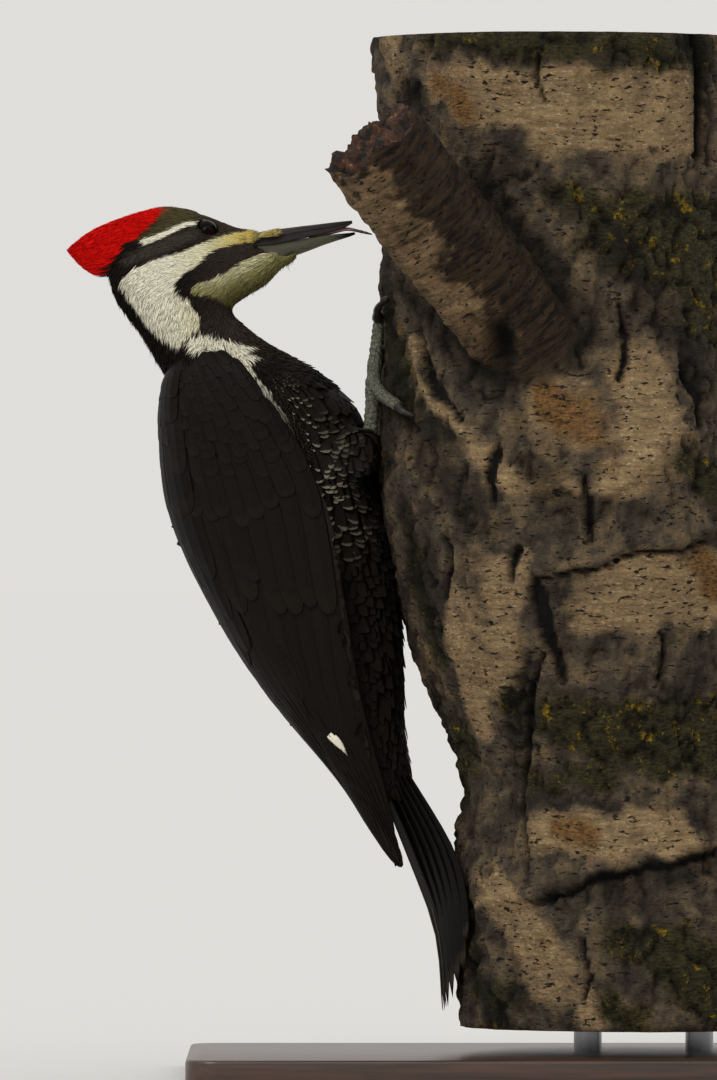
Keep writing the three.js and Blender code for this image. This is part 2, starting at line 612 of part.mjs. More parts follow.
place("head", "black_plumage", head);
place("crest", "red_crest_plumage", crest);
place("neck", "black_plumage", neck);
place("torso", "black_plumage", trunk);
place("bill_upper", "horn_bill", cut(upperBill, tongueShape(CUT_GAP)));
place("bill_lower", "lower_bill_horn", cut(lowerBill, tongueShape(CUT_GAP)));
place("tongue", "tongue_flesh", tongueShape(0));
place("eye_left", "eye_gloss", eyes.left);
place("eye_right", "eye_gloss", eyes.right);
place("wing_left", "black_plumage", wings.left);
place("wing_right", "black_plumage", wings.right);
place("tail", "black_plumage", tailFan);
for (const [side, word] of [[LEFT, "left"], [RIGHT, "right"]]) {
  const clawHoles = TOES.map((t) => claw(side, t, CUT_GAP));
  place("thigh_" + word, "black_plumage", cut(thigh(side, 0), bodyGrown, logGrown, wing(side, CUT_GAP)));
  const shank = cut(foot(side), thigh(side, CUT_GAP), bodyGrown, logGrown, ...clawHoles);
  place("foot_" + word, "grey_foot_skin", shank);
  for (const t of TOES) {
    place("claw_" + t.name + "_" + word, "claw_horn", cut(claw(side, t, 0), logGrown));
  }
}
place("perch_log", "aspen_bark", perchLog);
place("perch_stub", "broken_wood", perchStub);
place("stand_base", "dark_stained_wood", base);
place("stand_rod_left", "brushed_steel_rod", rods[0]);
place("stand_rod_right", "brushed_steel_rod", rods[1]);

export default bird;
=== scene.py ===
"""A female pileated woodpecker, life size, clinging to a cut length of aspen trunk on a display stand.

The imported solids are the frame. Here they get their looks: one skin under laid feathers, horn, eyes, scaled
feet, bark with a broken branch, and the stand. Blender's units are metres; sizes below are in millimetres,
times MM. The bird faces +X, its right side is toward -Y, and +Z is up.
"""

import math

import bmesh
import bpy
import numpy as np
from mathutils import Matrix, Vector, noise
from mathutils.bvhtree import BVHTree


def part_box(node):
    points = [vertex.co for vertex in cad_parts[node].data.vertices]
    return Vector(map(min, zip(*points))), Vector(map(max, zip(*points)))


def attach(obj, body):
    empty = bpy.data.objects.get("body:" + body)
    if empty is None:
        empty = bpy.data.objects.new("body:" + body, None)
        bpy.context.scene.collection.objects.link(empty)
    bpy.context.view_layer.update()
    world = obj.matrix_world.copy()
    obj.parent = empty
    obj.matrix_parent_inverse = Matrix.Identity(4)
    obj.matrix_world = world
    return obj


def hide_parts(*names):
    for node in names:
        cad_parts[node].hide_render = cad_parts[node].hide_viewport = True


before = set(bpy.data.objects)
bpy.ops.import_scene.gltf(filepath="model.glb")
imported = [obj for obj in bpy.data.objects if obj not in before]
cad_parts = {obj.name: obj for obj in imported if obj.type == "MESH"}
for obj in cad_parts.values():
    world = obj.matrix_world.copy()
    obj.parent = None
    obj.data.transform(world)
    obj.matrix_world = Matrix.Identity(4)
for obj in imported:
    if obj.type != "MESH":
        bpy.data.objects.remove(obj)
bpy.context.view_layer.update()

MM = 0.001
SEED = 20
RIGHT, LEFT = -1, 1  # sign of y
WORD = {RIGHT: "right", LEFT: "left"}

# ---- Skin ----
# Sizes here are in mm
FLESH = ["head", "crest", "neck", "torso", "wing_left", "wing_right", "thigh_left", "thigh_right"]
SKIN_VOXEL = 1.25
CUT_FILL = 0.4  # closes the thin cuts between the solids
# How far the skin lies inside each solid
COAT_DEPTH = {"head": 0.9, "crest": 1.1, "neck": 1.5, "torso": 1.7, "wing": 0.9, "thigh": 1.6}
HEAD_ABOVE = 330  # height over which the skin keeps its fine shape
# A cone of flesh between the halves of the jaw: x, y, z and radius at its back and at its front
CHIN_WEDGE = ((-126, 0, 350, 6.0), (-112.4, 0, 352.5, 2.0))
JAW_NARROWING = 0.45  # share of its width that the jaw loses between the bill's halves
VENT_PULL = 4  # how far the vent is drawn in, so that it slopes into the tail
UNWRAP_VOXEL = 5.0

# ---- Bare places, where no body feather is rooted ----
UNDERWING_END = 145  # the wing's inner side below this height
VENT_X, VENT_Z = -66, 124  # the vent in front of this x and below this z
WING_GAP, WING_TOP = 4.2, 309  # this near the wing's own feather rows, up to this height
UNDERWING_GAP = 9  # the same for the wing's inner side
EYE_BARE, EYE_BARE_OUT = 3.5, 3  # round the eye, measured from a point this far outside the eyeball's middle
BILL_GAP, BILL_SUNK = 4, 0.3  # this near the bill, unless it stands out from it by more than the second

# ---- Feather pattern ----
GRAIN_NUMBERS = 97  # feathers that differ before the barb pattern repeats
GRAIN_SHIFT = 37.0  # how far the pattern moves over all those numbers, in mm
UV_PATCH = (0.0015, 0.003)  # half width and length of one feather on the unwrap
NEIGHBOUR_CELL = 4  # feathers this near take on each other's sizes

# ---- Lie of the plumage: combed strokes, each a place (x, z) and the way the feathers point there ----
COMB = [
    ((-127, 360), (-1, 0.15)),  # bill base
    ((-145, 366), (-1, 0.25)),  # forecrown
    ((-160, 371), (-1, 0.05)),  # crown
    ((-180, 368), (-1, -0.15)),  # hind crown
    ((-195, 362), (-1, -0.42)),  # crest root
    ((-207, 357), (-1, -0.5)),  # crest tip
    ((-197, 348), (-1, -0.2)),  # crest, lower edge
    ((-138, 357), (-1, 0.05)),  # lores
    ((-150, 355), (-1, -0.15)),  # under the eye
    ((-165, 359), (-1, -0.25)),  # behind the eye
    ((-165, 352), (-1, -0.35)),  # ear
    ((-180, 345), (-0.8, -0.6)),  # cheek
    ((-192, 343), (-0.5, -0.85)),  # nape
    ((-130, 350), (-0.9, -0.35)),  # moustache
    ((-150, 338), (-0.75, -0.65)),  # its rear end
    ((-120, 348), (-0.8, -0.55)),  # chin
    ((-138, 330), (-0.35, -0.95)),  # throat
    ((-130, 318), (0.35, -0.9)),  # front of the neck
    ((-160, 328), (-0.05, -1)),  # side of the neck
    ((-190, 330), (0.35, -0.95)),  # hind neck
    ((-178, 312), (0.3, -0.95)),  # neck root
    ((-115, 308), (0.75, -0.65)),  # upper breast
    ((-95, 292), (0.5, -0.87)),  # breast
    ((-140, 295), (0.15, -1)),  # side of the breast
    ((-85, 260), (0.15, -1)),  # belly
    ((-100, 220), (0.2, -1)),  # flank
    ((-110, 175), (0.5, -0.87)),  # lower flank
    ((-68, 160), (0.05, -1)),  # vent
    ((-85, 130), (0.5, -0.87)),  # tail coverts
    ((-168, 270), (0.08, -1)),  # back
    ((-150, 210), (0.45, -0.9)),  # lower back
    ((-120, 165), (0.6, -0.8)),  # rump
]
COMB_SOFTNESS = 5.0

# ---- Markings: outlines and strokes (x, z) on the sides of the head and neck ----
RED_CREST = [
    (-168.5, 379), (-169.9, 371.6), (-174.2, 365.9), (-181.0, 359.5), (-187.1, 357.3), (-190.9, 351.7),
    (-196.1, 346.2), (-197.9, 341.5), (-208, 341), (-225, 350), (-218, 368), (-190, 380),
]
OLIVE_FORECROWN = [
    (-172, 379), (-172, 367), (-181, 359.5), (-178, 358.5), (-166, 363.5), (-156, 368.8), (-146, 368.5),
    (-136, 366), (-150, 376),
]
CREAM_STRIPE = [
    (-125.5, 364.6), (-131.0, 364.2), (-135.9, 362.3), (-140.6, 361.8), (-148.6, 359.3), (-154.5, 356.9),
    (-162.4, 353.5), (-170.3, 351.4), (-177.2, 348.9), (-184.1, 346.0), (-189.6, 340.4), (-183.6, 331.5),
    (-177.6, 322.8), (-171.4, 316.7), (-164.2, 312.5), (-159.5, 317.0), (-154.6, 321.0), (-154.6, 326.0),
    (-158.5, 331.5), (-163.5, 334.6), (-166.4, 338.1), (-162.4, 343.6), (-156.5, 347.0), (-152.7, 350.9),
    (-148.6, 354.4), (-139.8, 356.9), (-131.5, 358.2), (-124.5, 360.2),
]
THROAT = [
    (-124.5, 354.0), (-131.8, 351.9), (-138.7, 348.0), (-144.6, 344.0), (-150.5, 341.5), (-155.5, 340.1),
    (-158.5, 337.1), (-157.5, 335.6), (-148.6, 334.1), (-141.6, 330.2), (-136.0, 326.0), (-120.0, 334.0),
    (-108.0, 349.0), (-113.0, 353.5),
]
SHOULDER_WHITE = [
    (-161.0, 314.5), (-158.0, 317.0), (-154.2, 319.0), (-148.0, 317.4), (-141.0, 315.0), (-130.6, 312.6),
    (-134.5, 310.2), (-128.6, 308.2), (-134.0, 305.6), (-130.5, 301.0), (-131.5, 300.0), (-125.0, 294.5),
    (-118.8, 285.0), (-112.5, 273.0), (-116.2, 276.5), (-122.3, 285.5), (-129.0, 294.5),
    (-136.5, 298.0), (-138.5, 304.0), (-141.5, 309.6), (-148.0, 311.2), (-154.8, 310.2), (-159.5, 311.0),
]
BROW = [  # x, z and half width of the white line over the eye
    (-151.2, 367.1, 0.45), (-157.0, 366.9, 0.6), (-161.7, 364.9, 0.95), (-165.5, 363.2, 1.15),
    (-170.0, 361.1, 1.2), (-178.6, 358.0, 1.3),
]
EAR_GREY = [(-158.0, 361.0, 2.4), (-168.0, 357.0, 3.0), (-178.0, 353.0, 2.6), (-186.0, 350.0, 2.0)]
WING_EDGE = [(-136, 307, 0), (-120, 284, 0), (-105, 256, 0)]
FLANK_BARS = [(-134, 303, 3), (-124, 292, 8), (-113, 279, 12), (-102, 262, 12), (-95, 244, 9)]

# ---- Wing: back and front edge (x, y, z) from shoulder to tip ----
WING_BACK = [
    (-163.4, 15, 309.0), (-169.8, 11, 296.0), (-171.2, 8, 276.0), (-167.4, 5, 244.0), (-153.2, 4, 210.0),
    (-128.2, 3, 168.6), (-95.6, 4, 128.8), (-81.6, 7, 107.4), (-67.9, 10.4, 88.8),
]
WING_FRONT = [
    (-146.0, 30, 313.0), (-134.4, 38.5, 303.2), (-118.6, 43, 282.0), (-101.6, 43.5, 250.0),
    (-94.0, 41, 205.0), (-87.4, 32, 162.0), (-78.6, 20.5, 124.0), (-73.8, 15.5, 104.4), (-66.4, 11.8, 88.0),
]

# ---- Tail ----
TAIL_ROOT = (-78.0, 127.0)
TAIL_BEND = (-65.0, 95.0)
TAIL_TIP_Z = 27.5
TAIL_TIP_STEP = [0, 2, 6, 11, 17, 30]
TAIL_ROOT_STEP, TAIL_BEND_STEP = 2.3, 3.0  # how far each pair stands in front of the one before it
TAIL_ROOT_HALF, TAIL_SPREAD = 1.7, 6.9  # spacing across at the root, and what the tip adds to it
SHAFT_COUNT = 4  # the middle pairs' shafts, with a painted highlight along them

# ---- Bill: back edge (x, z), front edge (x, z), half width ----
UPPER_BILL = [
    (-138.0, 360.6, -139.5, 355.9, 7.1), (-126.0, 363.0, -125.2, 356.8, 7.0),
    (-119.0, 364.0, -117.0, 358.2, 6.3), (-112.0, 364.9, -109.8, 359.8, 5.2),
    (-105.0, 365.7, -102.8, 361.3, 4.0), (-98.5, 366.5, -96.8, 362.8, 2.9),
    (-93.0, 367.1, -92.0, 364.6, 2.0), (-89.4, 367.4, -89.2, 366.2, 1.25),
]
LOWER_BILL = [
    (-138.0, 356.4, -133.5, 349.6, 6.6), (-125.5, 357.0, -121.5, 350.0, 6.2),
    (-117.6, 358.2, -114.6, 352.0, 5.4), (-110.4, 359.5, -107.8, 354.4, 4.3),
    (-103.7, 360.6, -101.6, 356.8, 3.2), (-97.0, 361.5, -95.6, 358.8, 2.2),
    (-91.5, 362.0, -90.8, 360.3, 1.5), (-88.2, 362.4, -88.0, 361.4, 1.0),
]
TONGUE_PATH = [(-108, 360.3), (-98, 362.4), (-91.5, 363.7), (-85.5, 362.6), (-80.6, 361.4)]

# ---- Eye ----
EYE_X, EYE_Z, EYE_SIDE, EYE_RADIUS = -151.9, 362.4, 8.1, 5.0
LID_OPENING = (2.1, 1.95)  # half width and half height

# ---- Perch ----
LOG_BOTTOM, LOG_TOP = 21, 446
LOG_FOOT_X, LOG_LEAN, LOG_RADIUS = 36, 0.09, 78
LOG_ROUND = 3.1  # the far end of the trunk's hidden sides, in radians round from the bird's side
STUB_ROOT, STUB_END = (8, -58, 289), (-81.5, -101, 399.5)
BARK_VOXEL = 1.9
BARK_RISE = (-9, 3.4)  # the deepest hollow and the highest swelling of the bark
FOOT_ROOM = 3.3  # how much lower the bark stays under the toes
BRANCH_WIDTH = ([0, 30, 60, 148], [28, 25.2, 24, 22.5])  # distance along the branch, and its radius there


# ---------------------------------------------------------------- small tools

def linear(hexcode):
    """An sRGB hex colour as linear red, green and blue."""
    parts = [int(hexcode[i : i + 2], 16) / 255 for i in (1, 3, 5)]
    return np.array([c / 12.92 if c <= 0.04045 else ((c + 0.055) / 1.055) ** 2.4 for c in parts])


def unit(rows):
    """Each row of an array at length one."""
    return rows / np.maximum(np.linalg.norm(rows, axis=-1, keepdims=True), 1e-12)


def smooth(low, high, value):
    """0 below low, 1 above high, and a soft step between."""
    t = np.clip((value - low) / (high - low), 0, 1)
    return t * t * (3 - 2 * t)


def along(points, t):
    """Places on a smooth curve through points, for t from 0 to 1."""
    points = np.asarray(points, float)
    rows = np.vstack([2 * points[0] - points[1], points, 2 * points[-1] - points[-2]])
    place = np.clip(np.asarray(t, float), 0, 1) * (len(points) - 1)
    i = np.minimum(place.astype(int), len(points) - 2)
    u = (place - i)[..., None]
    a, b, c, d = rows[i], rows[i + 1], rows[i + 2], rows[i + 3]
    return 0.5 * (2 * b + (c - a) * u + (2 * a - 5 * b + 4 * c - d) * u**2 + (3 * b - a - 3 * c + d) * u**3)


def within(flat, outline):
    """Distance of each (x, z) from a closed outline, positive inside it."""
    start = np.array(outline, float)
    edge = np.roll(start, -1, axis=0) - start
    gap = flat[:, None] - start
    share = np.clip((gap * edge).sum(2) / (edge**2).sum(1), 0, 1)
    away = np.linalg.norm(gap - share[..., None] * edge, axis=2).min(1)
    end_z = start[:, 1] + edge[:, 1]
    crosses = (start[:, 1] > flat[:, None, 1]) != (end_z > flat[:, None, 1])
    rise = np.where(np.abs(edge[:, 1]) < 1e-9, 1e-9, edge[:, 1])
    at_x = start[:, 0] + gap[..., 1] * edge[:, 0] / rise
    odd = (crosses & (flat[:, None, 0] < at_x)).sum(1) % 2
    return np.where(odd == 1, away, -away)


def near_stroke(flat, stroke):
    """How far inside a stroke each (x, z) is. A stroke has x, z and half width at each of its points."""
    stroke = np.array(stroke, float)
    start, edge = stroke[:-1, :2], np.diff(stroke[:, :2], axis=0)
    gap = flat[:, None] - start
    share = np.clip((gap * edge).sum(2) / (edge**2).sum(1), 0, 1)
    away = np.linalg.norm(gap - share[..., None] * edge, axis=2)
    half = stroke[:-1, 2] + share * np.diff(stroke[:, 2])
    return (half - away).max(1)


def fields(items, name, width, kind=np.int32):
    """One field of each of a mesh's items, as rows of an array."""
    flat = np.empty(len(items) * width, kind)
    items.foreach_get(name, flat)
    return flat.reshape(-1, width)


def places_of(mesh):
    """A mesh's vertex places as an array."""
    return fields(mesh.vertices, "co", 3, np.float32).astype(float)


def normals_of(mesh):
    """A mesh's vertex normals as an array."""
    return fields(mesh.vertices, "normal", 3, np.float32).astype(float)


def move_to(mesh, places):
    """Puts a mesh's vertices at new places."""
    mesh.vertices.foreach_set("co", places.astype(np.float32).ravel())
    mesh.update()


def copied(mesh):
    """A mesh as a bmesh."""
    shape = bmesh.new()
    shape.from_mesh(mesh)
    return shape


def into_scene(name, data):
    """A new object in the scene, from a mesh, a light or a camera."""
    made = bpy.data.objects.new(name, data)
    bpy.context.scene.collection.objects.link(made)
    return made


def tree_of(mesh):
    """A mesh as a tree that finds nearest places."""
    shape = copied(mesh)
    tree = BVHTree.FromBMesh(shape)
    shape.free()
    return tree


def onto(tree, points):
    """Each point's nearest place on a surface, with the surface's normal, face and distance there."""
    found = [tree.find_nearest(p) for p in points.tolist()]
    spots = np.array([f[0][:] for f in found])
    ups = np.array([f[1][:] for f in found])
    return spots, ups, np.array([f[2] for f in found]), np.array([f[3] for f in found])


def blurred(mesh, values, rounds):
    """A number on each vertex, mixed with its neighbours' a few times."""
    a, b = fields(mesh.edges, "vertices", 2).T
    count = np.bincount(a, minlength=len(values)) + np.bincount(b, minlength=len(values))
    for _ in range(rounds):
        total = np.bincount(a, values[b], len(values)) + np.bincount(b, values[a], len(values))
        values = 0.5 * values + 0.5 * total / np.maximum(count, 1)
    return values


def keep_numbers(mesh, name, kind, values):
    """Stores one number, vector or colour for each vertex under a name."""
    layer = mesh.attributes.new(name, kind, "POINT")
    field = {"FLOAT": "value", "FLOAT_VECTOR": "vector", "FLOAT_COLOR": "color"}[kind]
    layer.data.foreach_set(field, np.ascontiguousarray(values, dtype=np.float32).ravel())


def show(name, mesh, materials, stands_for=()):
    """Puts a finished mesh in the scene as a piece of the model."""
    mesh.name = name
    for material in materials:
        mesh.materials.append(material)
    piece = into_scene(name, mesh)
    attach(piece, "root")
    if stands_for:
        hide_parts(*stands_for)
    return piece


def mesh_from(shape, rounded=True):
    """A bmesh as a mesh with smooth shading."""
    for face in shape.faces:
        face.smooth = rounded
    mesh = bpy.data.meshes.new("shape")
    shape.to_mesh(mesh)
    shape.free()
    return mesh


def join(whole, part):
    """Adds one bmesh to another and frees it."""
    mesh = mesh_from(part)
    whole.from_mesh(mesh)
    bpy.data.meshes.remove(mesh)


def cage(sides, rings, pointed=False):
    """A closed tube of rings, its points ordered ring by ring and then side by side."""
    shape = bmesh.new()
    bmesh.ops.create_circle(shape, cap_ends=True, segments=sides, radius=1)
    edges = shape.edges[:]
    for _ in range(rings - 1):
        grown = bmesh.ops.extrude_edge_only(shape, edges=edges)["geom"]
        verts = [g for g in grown if isinstance(g, bmesh.types.BMVert)]
        edges = [g for g in grown if isinstance(g, bmesh.types.BMEdge) and all(v in verts for v in g.verts)]
        bmesh.ops.translate(shape, verts=verts, vec=(0, 0, 1))
    if pointed:
        bmesh.ops.pointmerge(shape, verts=verts, merge_co=(0, 0, rings - 1))
    else:
        bmesh.ops.contextual_create(shape, geom=edges)
    bmesh.ops.recalc_face_normals(shape, faces=shape.faces)
    return shape


def ring_and_side(shape, sides):
    """For each vertex of a cage, the number of its ring and of its side."""
    rows = np.array([v.co[:] for v in shape.verts])
    turn = np.arctan2(rows[:, 1], rows[:, 0]) / (2 * math.pi) * sides
    return np.rint(rows[:, 2]).astype(int), np.rint(turn).astype(int) % sides


def loft(rings, pointed=False):
    """A closed bmesh through rings of points."""
    rings = np.asarray(rings, float)
    shape = cage(rings.shape[1], len(rings), pointed)
    ring, side = ring_and_side(shape, rings.shape[1])
    for v, k, j in zip(shape.verts, ring, side):
        v.co = rings[k].mean(0) if pointed and k == len(rings) - 1 else rings[k, j]
    bmesh.ops.recalc_face_normals(shape, faces=shape.faces)
    return shape


def cad_copy(names, grow=0.0):
    """CAD nodes as one bmesh, their loose triangles merged, grown a little along the normals."""
    whole = bmesh.new()
    for name in names:
        part = copied(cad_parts[name].data)
        bmesh.ops.remove_doubles(part, verts=part.verts, dist=0.01 * MM)
        part.normal_update()
        for v in part.verts:
            v.co += v.normal * grow
        join(whole, part)
    return whole


def remeshed(shape, voxel):
    """A bmesh of overlapping solids as one even skin."""
    lump = into_scene("lump", mesh_from(shape))
    grid = lump.modifiers.new("grid", "REMESH")
    grid.mode = "VOXEL"
    grid.voxel_size = voxel
    grid.use_smooth_shade = True
    result = bpy.data.meshes.new_from_object(lump.evaluated_get(bpy.context.evaluated_depsgraph_get()))
    bpy.data.objects.remove(lump)
    return result


def soften(shape, verts, rounds=1):
    """Moves vertices toward the middle of their neighbours."""
    for _ in range(rounds):
        bmesh.ops.smooth_vert(shape, verts=verts, factor=0.5, use_axis_x=True, use_axis_y=True,
                              use_axis_z=True)


def relax(mesh, rounds, where=None):
    """Smooths a mesh, or only the part of it where a test of the vertex place says so."""
    shape = copied(mesh)
    soften(shape, [v for v in shape.verts if where is None or where(v.co)], rounds)
    shape.to_mesh(mesh)
    shape.free()


# ---------------------------------------------------------------- materials

def material(name):
    """A new material with its shader, ready for nodes."""
    made = bpy.data.materials.new(name)
    made.use_nodes = True
    tree = made.node_tree
    return made, tree, tree.nodes["Principled BSDF"]


def add(tree, kind, inputs=None, **settings):
    """Adds a shader node with its settings, and sets or links its inputs."""
    made = tree.nodes.new("ShaderNode" + kind)
    for name, value in settings.items():
        setattr(made, name, value)
    for name, value in (inputs or {}).items():
        if isinstance(value, bpy.types.NodeSocket):
            tree.links.new(value, made.inputs[name])
        else:
            made.inputs[name].default_value = value
    return made


def rgba(hexcode):
    """An sRGB hex colour as a linear one, fully opaque."""
    return (*linear(hexcode), 1)


def plumage_material(name, roughness, barb, relief, rim):
    """Vaned feathers, matt with a faint gloss. The colour is laid feather by feather; fine barbs run out
    from each shaft, and the rim shows where the vane ends."""
    made, tree, vane = material(name)
    colour = add(tree, "Attribute", attribute_name="plumage")
    # vane: x across and y along the feather in mm, z its own number
    spot = add(tree, "Attribute", attribute_name="vane")
    # rim: x from the shaft out, y from root to tip, z the rim's strength
    edge = add(tree, "Attribute", attribute_name="rim")
    split = add(tree, "SeparateXYZ", {"Vector": spot.outputs["Vector"]})
    rims = add(tree, "SeparateXYZ", {"Vector": edge.outputs["Vector"]})
    out = add(tree, "Math", {0: split.outputs["X"]}, operation="ABSOLUTE")
    slant = add(tree, "Math", {0: out.outputs[0], 1: -0.8, 2: split.outputs["Y"]}, operation="MULTIPLY_ADD")
    shifted = add(tree, "Math", {0: split.outputs["Z"], 1: GRAIN_SHIFT, 2: slant.outputs[0]},
                  operation="MULTIPLY_ADD")
    place = add(tree, "CombineXYZ", {"X": shifted.outputs[0], "Y": out.outputs[0], "Z": split.outputs["Z"]})
    stretch = add(tree, "VectorMath", {0: place.outputs[0], 1: (1, 0.12, 1)}, operation="MULTIPLY")
    barbs = add(tree, "TexNoise", {"Vector": stretch.outputs[0], "Scale": barb, "Detail": 2.0,
                                   "Roughness": 0.6})
    shade = add(tree, "MapRange", {"Value": barbs.outputs[0], "From Min": 0.3, "From Max": 0.7,
                                   "To Min": 0.78, "To Max": 1.22})
    mixed = add(tree, "VectorMath", {0: colour.outputs["Color"], "Scale": shade.outputs[0]},
                operation="SCALE")
    bowed = add(tree, "Math", {0: rims.outputs["X"], 1: 2.0}, operation="POWER")
    bowed = add(tree, "Math", {0: bowed.outputs[0], 1: 0.10, 2: rims.outputs["Y"]}, operation="MULTIPLY_ADD")
    frayed = add(tree, "Math", {0: barbs.outputs[0], 1: 0.16, 2: bowed.outputs[0]}, operation="MULTIPLY_ADD")
    ending = add(tree, "MapRange", {"Value": frayed.outputs[0], "From Min": 0.955, "From Max": 0.99})
    amount = add(tree, "Math", {0: ending.outputs[0], 1: rims.outputs["Z"]}, operation="MULTIPLY",
                 use_clamp=True)
    rimmed = add(tree, "Mix", {"Factor": amount.outputs[0], "A": mixed.outputs[0], "B": rgba(rim)},
                 data_type="RGBA")
    gloss = add(tree, "MapRange", {"Value": barbs.outputs[0], "From Min": 0.3, "From Max": 0.7,
                                   "To Min": roughness - 0.08, "To Max": roughness + 0.1})
    bump = add(tree, "Bump", {"Height": barbs.outputs[0], "Strength": relief, "Distance": 0.12 * MM})
    tree.links.new(rimmed.outputs["Result"], vane.inputs["Base Color"])
    tree.links.new(gloss.outputs[0], vane.inputs["Roughness"])
    tree.links.new(bump.outputs[0], vane.inputs["Normal"])
    vane.inputs["Specular IOR Level"].default_value = 0.06
    return made


def skin_material():
    """Skin and down under the feathers: the same markings, matt, with a soft downy grain of about 1 mm."""
    made, tree, skin = material("downy_skin")
    colour = add(tree, "Attribute", attribute_name="plumage")
    place = add(tree, "TexCoord")
    grain = add(tree, "TexNoise", {"Vector": place.outputs["Object"], "Scale": 1 / (1.0 * MM), "Detail": 3.0})
    shade = add(tree, "MapRange", {"Value": grain.outputs[0], "To Min": 0.6, "To Max": 1.1})
    mixed = add(tree, "VectorMath", {0: colour.outputs["Color"], "Scale": shade.outputs[0]},
                operation="SCALE")
    bump = add(tree, "Bump", {"Height": grain.outputs[0], "Strength": 0.5, "Distance": 0.3 * MM})
    tree.links.new(mixed.outputs[0], skin.inputs["Base Color"])
    tree.links.new(bump.outputs[0], skin.inputs["Normal"])
    skin.inputs["Roughness"].default_value = 0.85
    skin.inputs["Specular IOR Level"].default_value = 0.2
    return made


def horn_material(name, base, ridge, tip, gloss):
    """Keratin horn: smooth and faintly greasy, streaked lengthwise, paler on the worn ridge and darker to
    the tip."""
    made, tree, horn = material(name)
    wear = add(tree, "Attribute", attribute_name="wear")  # x along from root to tip, y worn ridge
    split = add(tree, "SeparateXYZ", {"Vector": wear.outputs["Vector"]})
    place = add(tree, "TexCoord")
    turned = add(tree, "Mapping", {"Vector": place.outputs["Object"], "Rotation": (0, math.radians(8), 0),
                                   "Scale": (0.08, 1, 1)})
    streak = add(tree, "TexNoise", {"Vector": turned.outputs[0], "Scale": 1 / (0.9 * MM), "Detail": 4.0})
    patch = add(tree, "TexNoise", {"Vector": place.outputs["Object"], "Scale": 1 / (5 * MM), "Detail": 3.0})
    streaked = add(tree, "MapRange", {"Value": streak.outputs[0], "From Min": 0.35, "From Max": 0.7})
    worn = add(tree, "Math", {0: split.outputs["Y"], 1: patch.outputs[0]}, operation="MULTIPLY")
    worn = add(tree, "Math", {0: worn.outputs[0], 1: 1.5, 2: -0.1}, operation="MULTIPLY_ADD", use_clamp=True)
    grained = add(tree, "Mix", {"Factor": streaked.outputs[0], "A": rgba(base), "B": rgba(ridge)},
                  data_type="RGBA")
    soft = add(tree, "Mix", {"Factor": 0.35, "A": rgba(base), "B": grained.outputs["Result"]},
               data_type="RGBA")
    ridged = add(tree, "Mix", {"Factor": worn.outputs[0], "A": soft.outputs["Result"], "B": rgba(ridge)},
                 data_type="RGBA")
    far = add(tree, "MapRange", {"Value": split.outputs["X"], "From Min": 0.66, "From Max": 0.84})
    ended = add(tree, "Mix", {"Factor": far.outputs[0], "A": ridged.outputs["Result"], "B": rgba(tip)},
                data_type="RGBA")
    rough = add(tree, "MapRange", {"Value": streak.outputs[0], "To Min": gloss - 0.08,
                                   "To Max": gloss + 0.16})
    bump = add(tree, "Bump", {"Height": streak.outputs[0], "Strength": 0.25, "Distance": 0.12 * MM})
    tree.links.new(ended.outputs["Result"], horn.inputs["Base Color"])
    tree.links.new(rough.outputs[0], horn.inputs["Roughness"])
    tree.links.new(bump.outputs[0], horn.inputs["Normal"])
    horn.inputs["IOR"].default_value = 1.54
    horn.inputs["Specular IOR Level"].default_value = 0.14
    return made


def eye_material():
    """A glass taxidermy eye: dark brown iris and black pupil painted behind glass that hardly mirrors the
    room."""
    made, tree, glass = material("glass_eye")
    radial = add(tree, "Attribute", attribute_name="from_pupil")
    place = add(tree, "TexCoord")
    fibre = add(tree, "TexNoise", {"Vector": place.outputs["Object"], "Scale": 1 / (0.35 * MM),
                                   "Detail": 3.0})
    iris = add(tree, "Mix", {"Factor": fibre.outputs[0], "A": rgba("#0f0806"), "B": rgba("#26160f")},
               data_type="RGBA")
    edge = add(tree, "MapRange", {"Value": radial.outputs["Fac"], "From Min": 1.25, "From Max": 1.4})
    inner = add(tree, "Mix", {"Factor": edge.outputs[0], "A": rgba("#020202"), "B": iris.outputs["Result"]},
                data_type="RGBA")
    limbus = add(tree, "MapRange", {"Value": radial.outputs["Fac"], "From Min": 2.2, "From Max": 2.5})
    outer = add(tree, "Mix", {"Factor": limbus.outputs[0], "A": inner.outputs["Result"],
                              "B": rgba("#090706")}, data_type="RGBA")
    tree.links.new(outer.outputs["Result"], glass.inputs["Base Color"])
    glass.inputs["Roughness"].default_value = 0.06
    glass.inputs["Specular IOR Level"].default_value = 0.06
    return made


def bare_skin_material(name, base, fold, scale_mm, gloss):
    """Bare bird skin: leathery, with fine scales whose gaps are darker than their tops: painted shade."""
    made, tree, skin = material(name)
    place = add(tree, "TexCoord")
    scales = add(tree, "TexVoronoi", {"Vector": place.outputs["Object"], "Scale": 1 / (scale_mm * MM)},
                 feature="DISTANCE_TO_EDGE")
    gaps = add(tree, "MapRange", {"Value": scales.outputs["Distance"], "From Max": 0.12})
    patch = add(tree, "TexNoise", {"Vector": place.outputs["Object"], "Scale": 1 / (2.5 * MM), "Detail": 4.0})
    tone = add(tree, "Mix", {"Factor": patch.outputs[0], "A": rgba(fold), "B": rgba(base)}, data_type="RGBA")
    # painted shade in the gaps between the scales
    creased = add(tree, "Mix", {"Factor": gaps.outputs[0], "A": rgba(fold), "B": tone.outputs["Result"]},
                  data_type="RGBA")
    bump = add(tree, "Bump", {"Height": gaps.outputs[0], "Strength": 0.6, "Distance": 0.15 * MM})
    tree.links.new(creased.outputs["Result"], skin.inputs["Base Color"])
    tree.links.new(bump.outputs[0], skin.inputs["Normal"])
    skin.inputs["Roughness"].default_value = gloss
    skin.inputs["Specular IOR Level"].default_value = 0.15
    return made


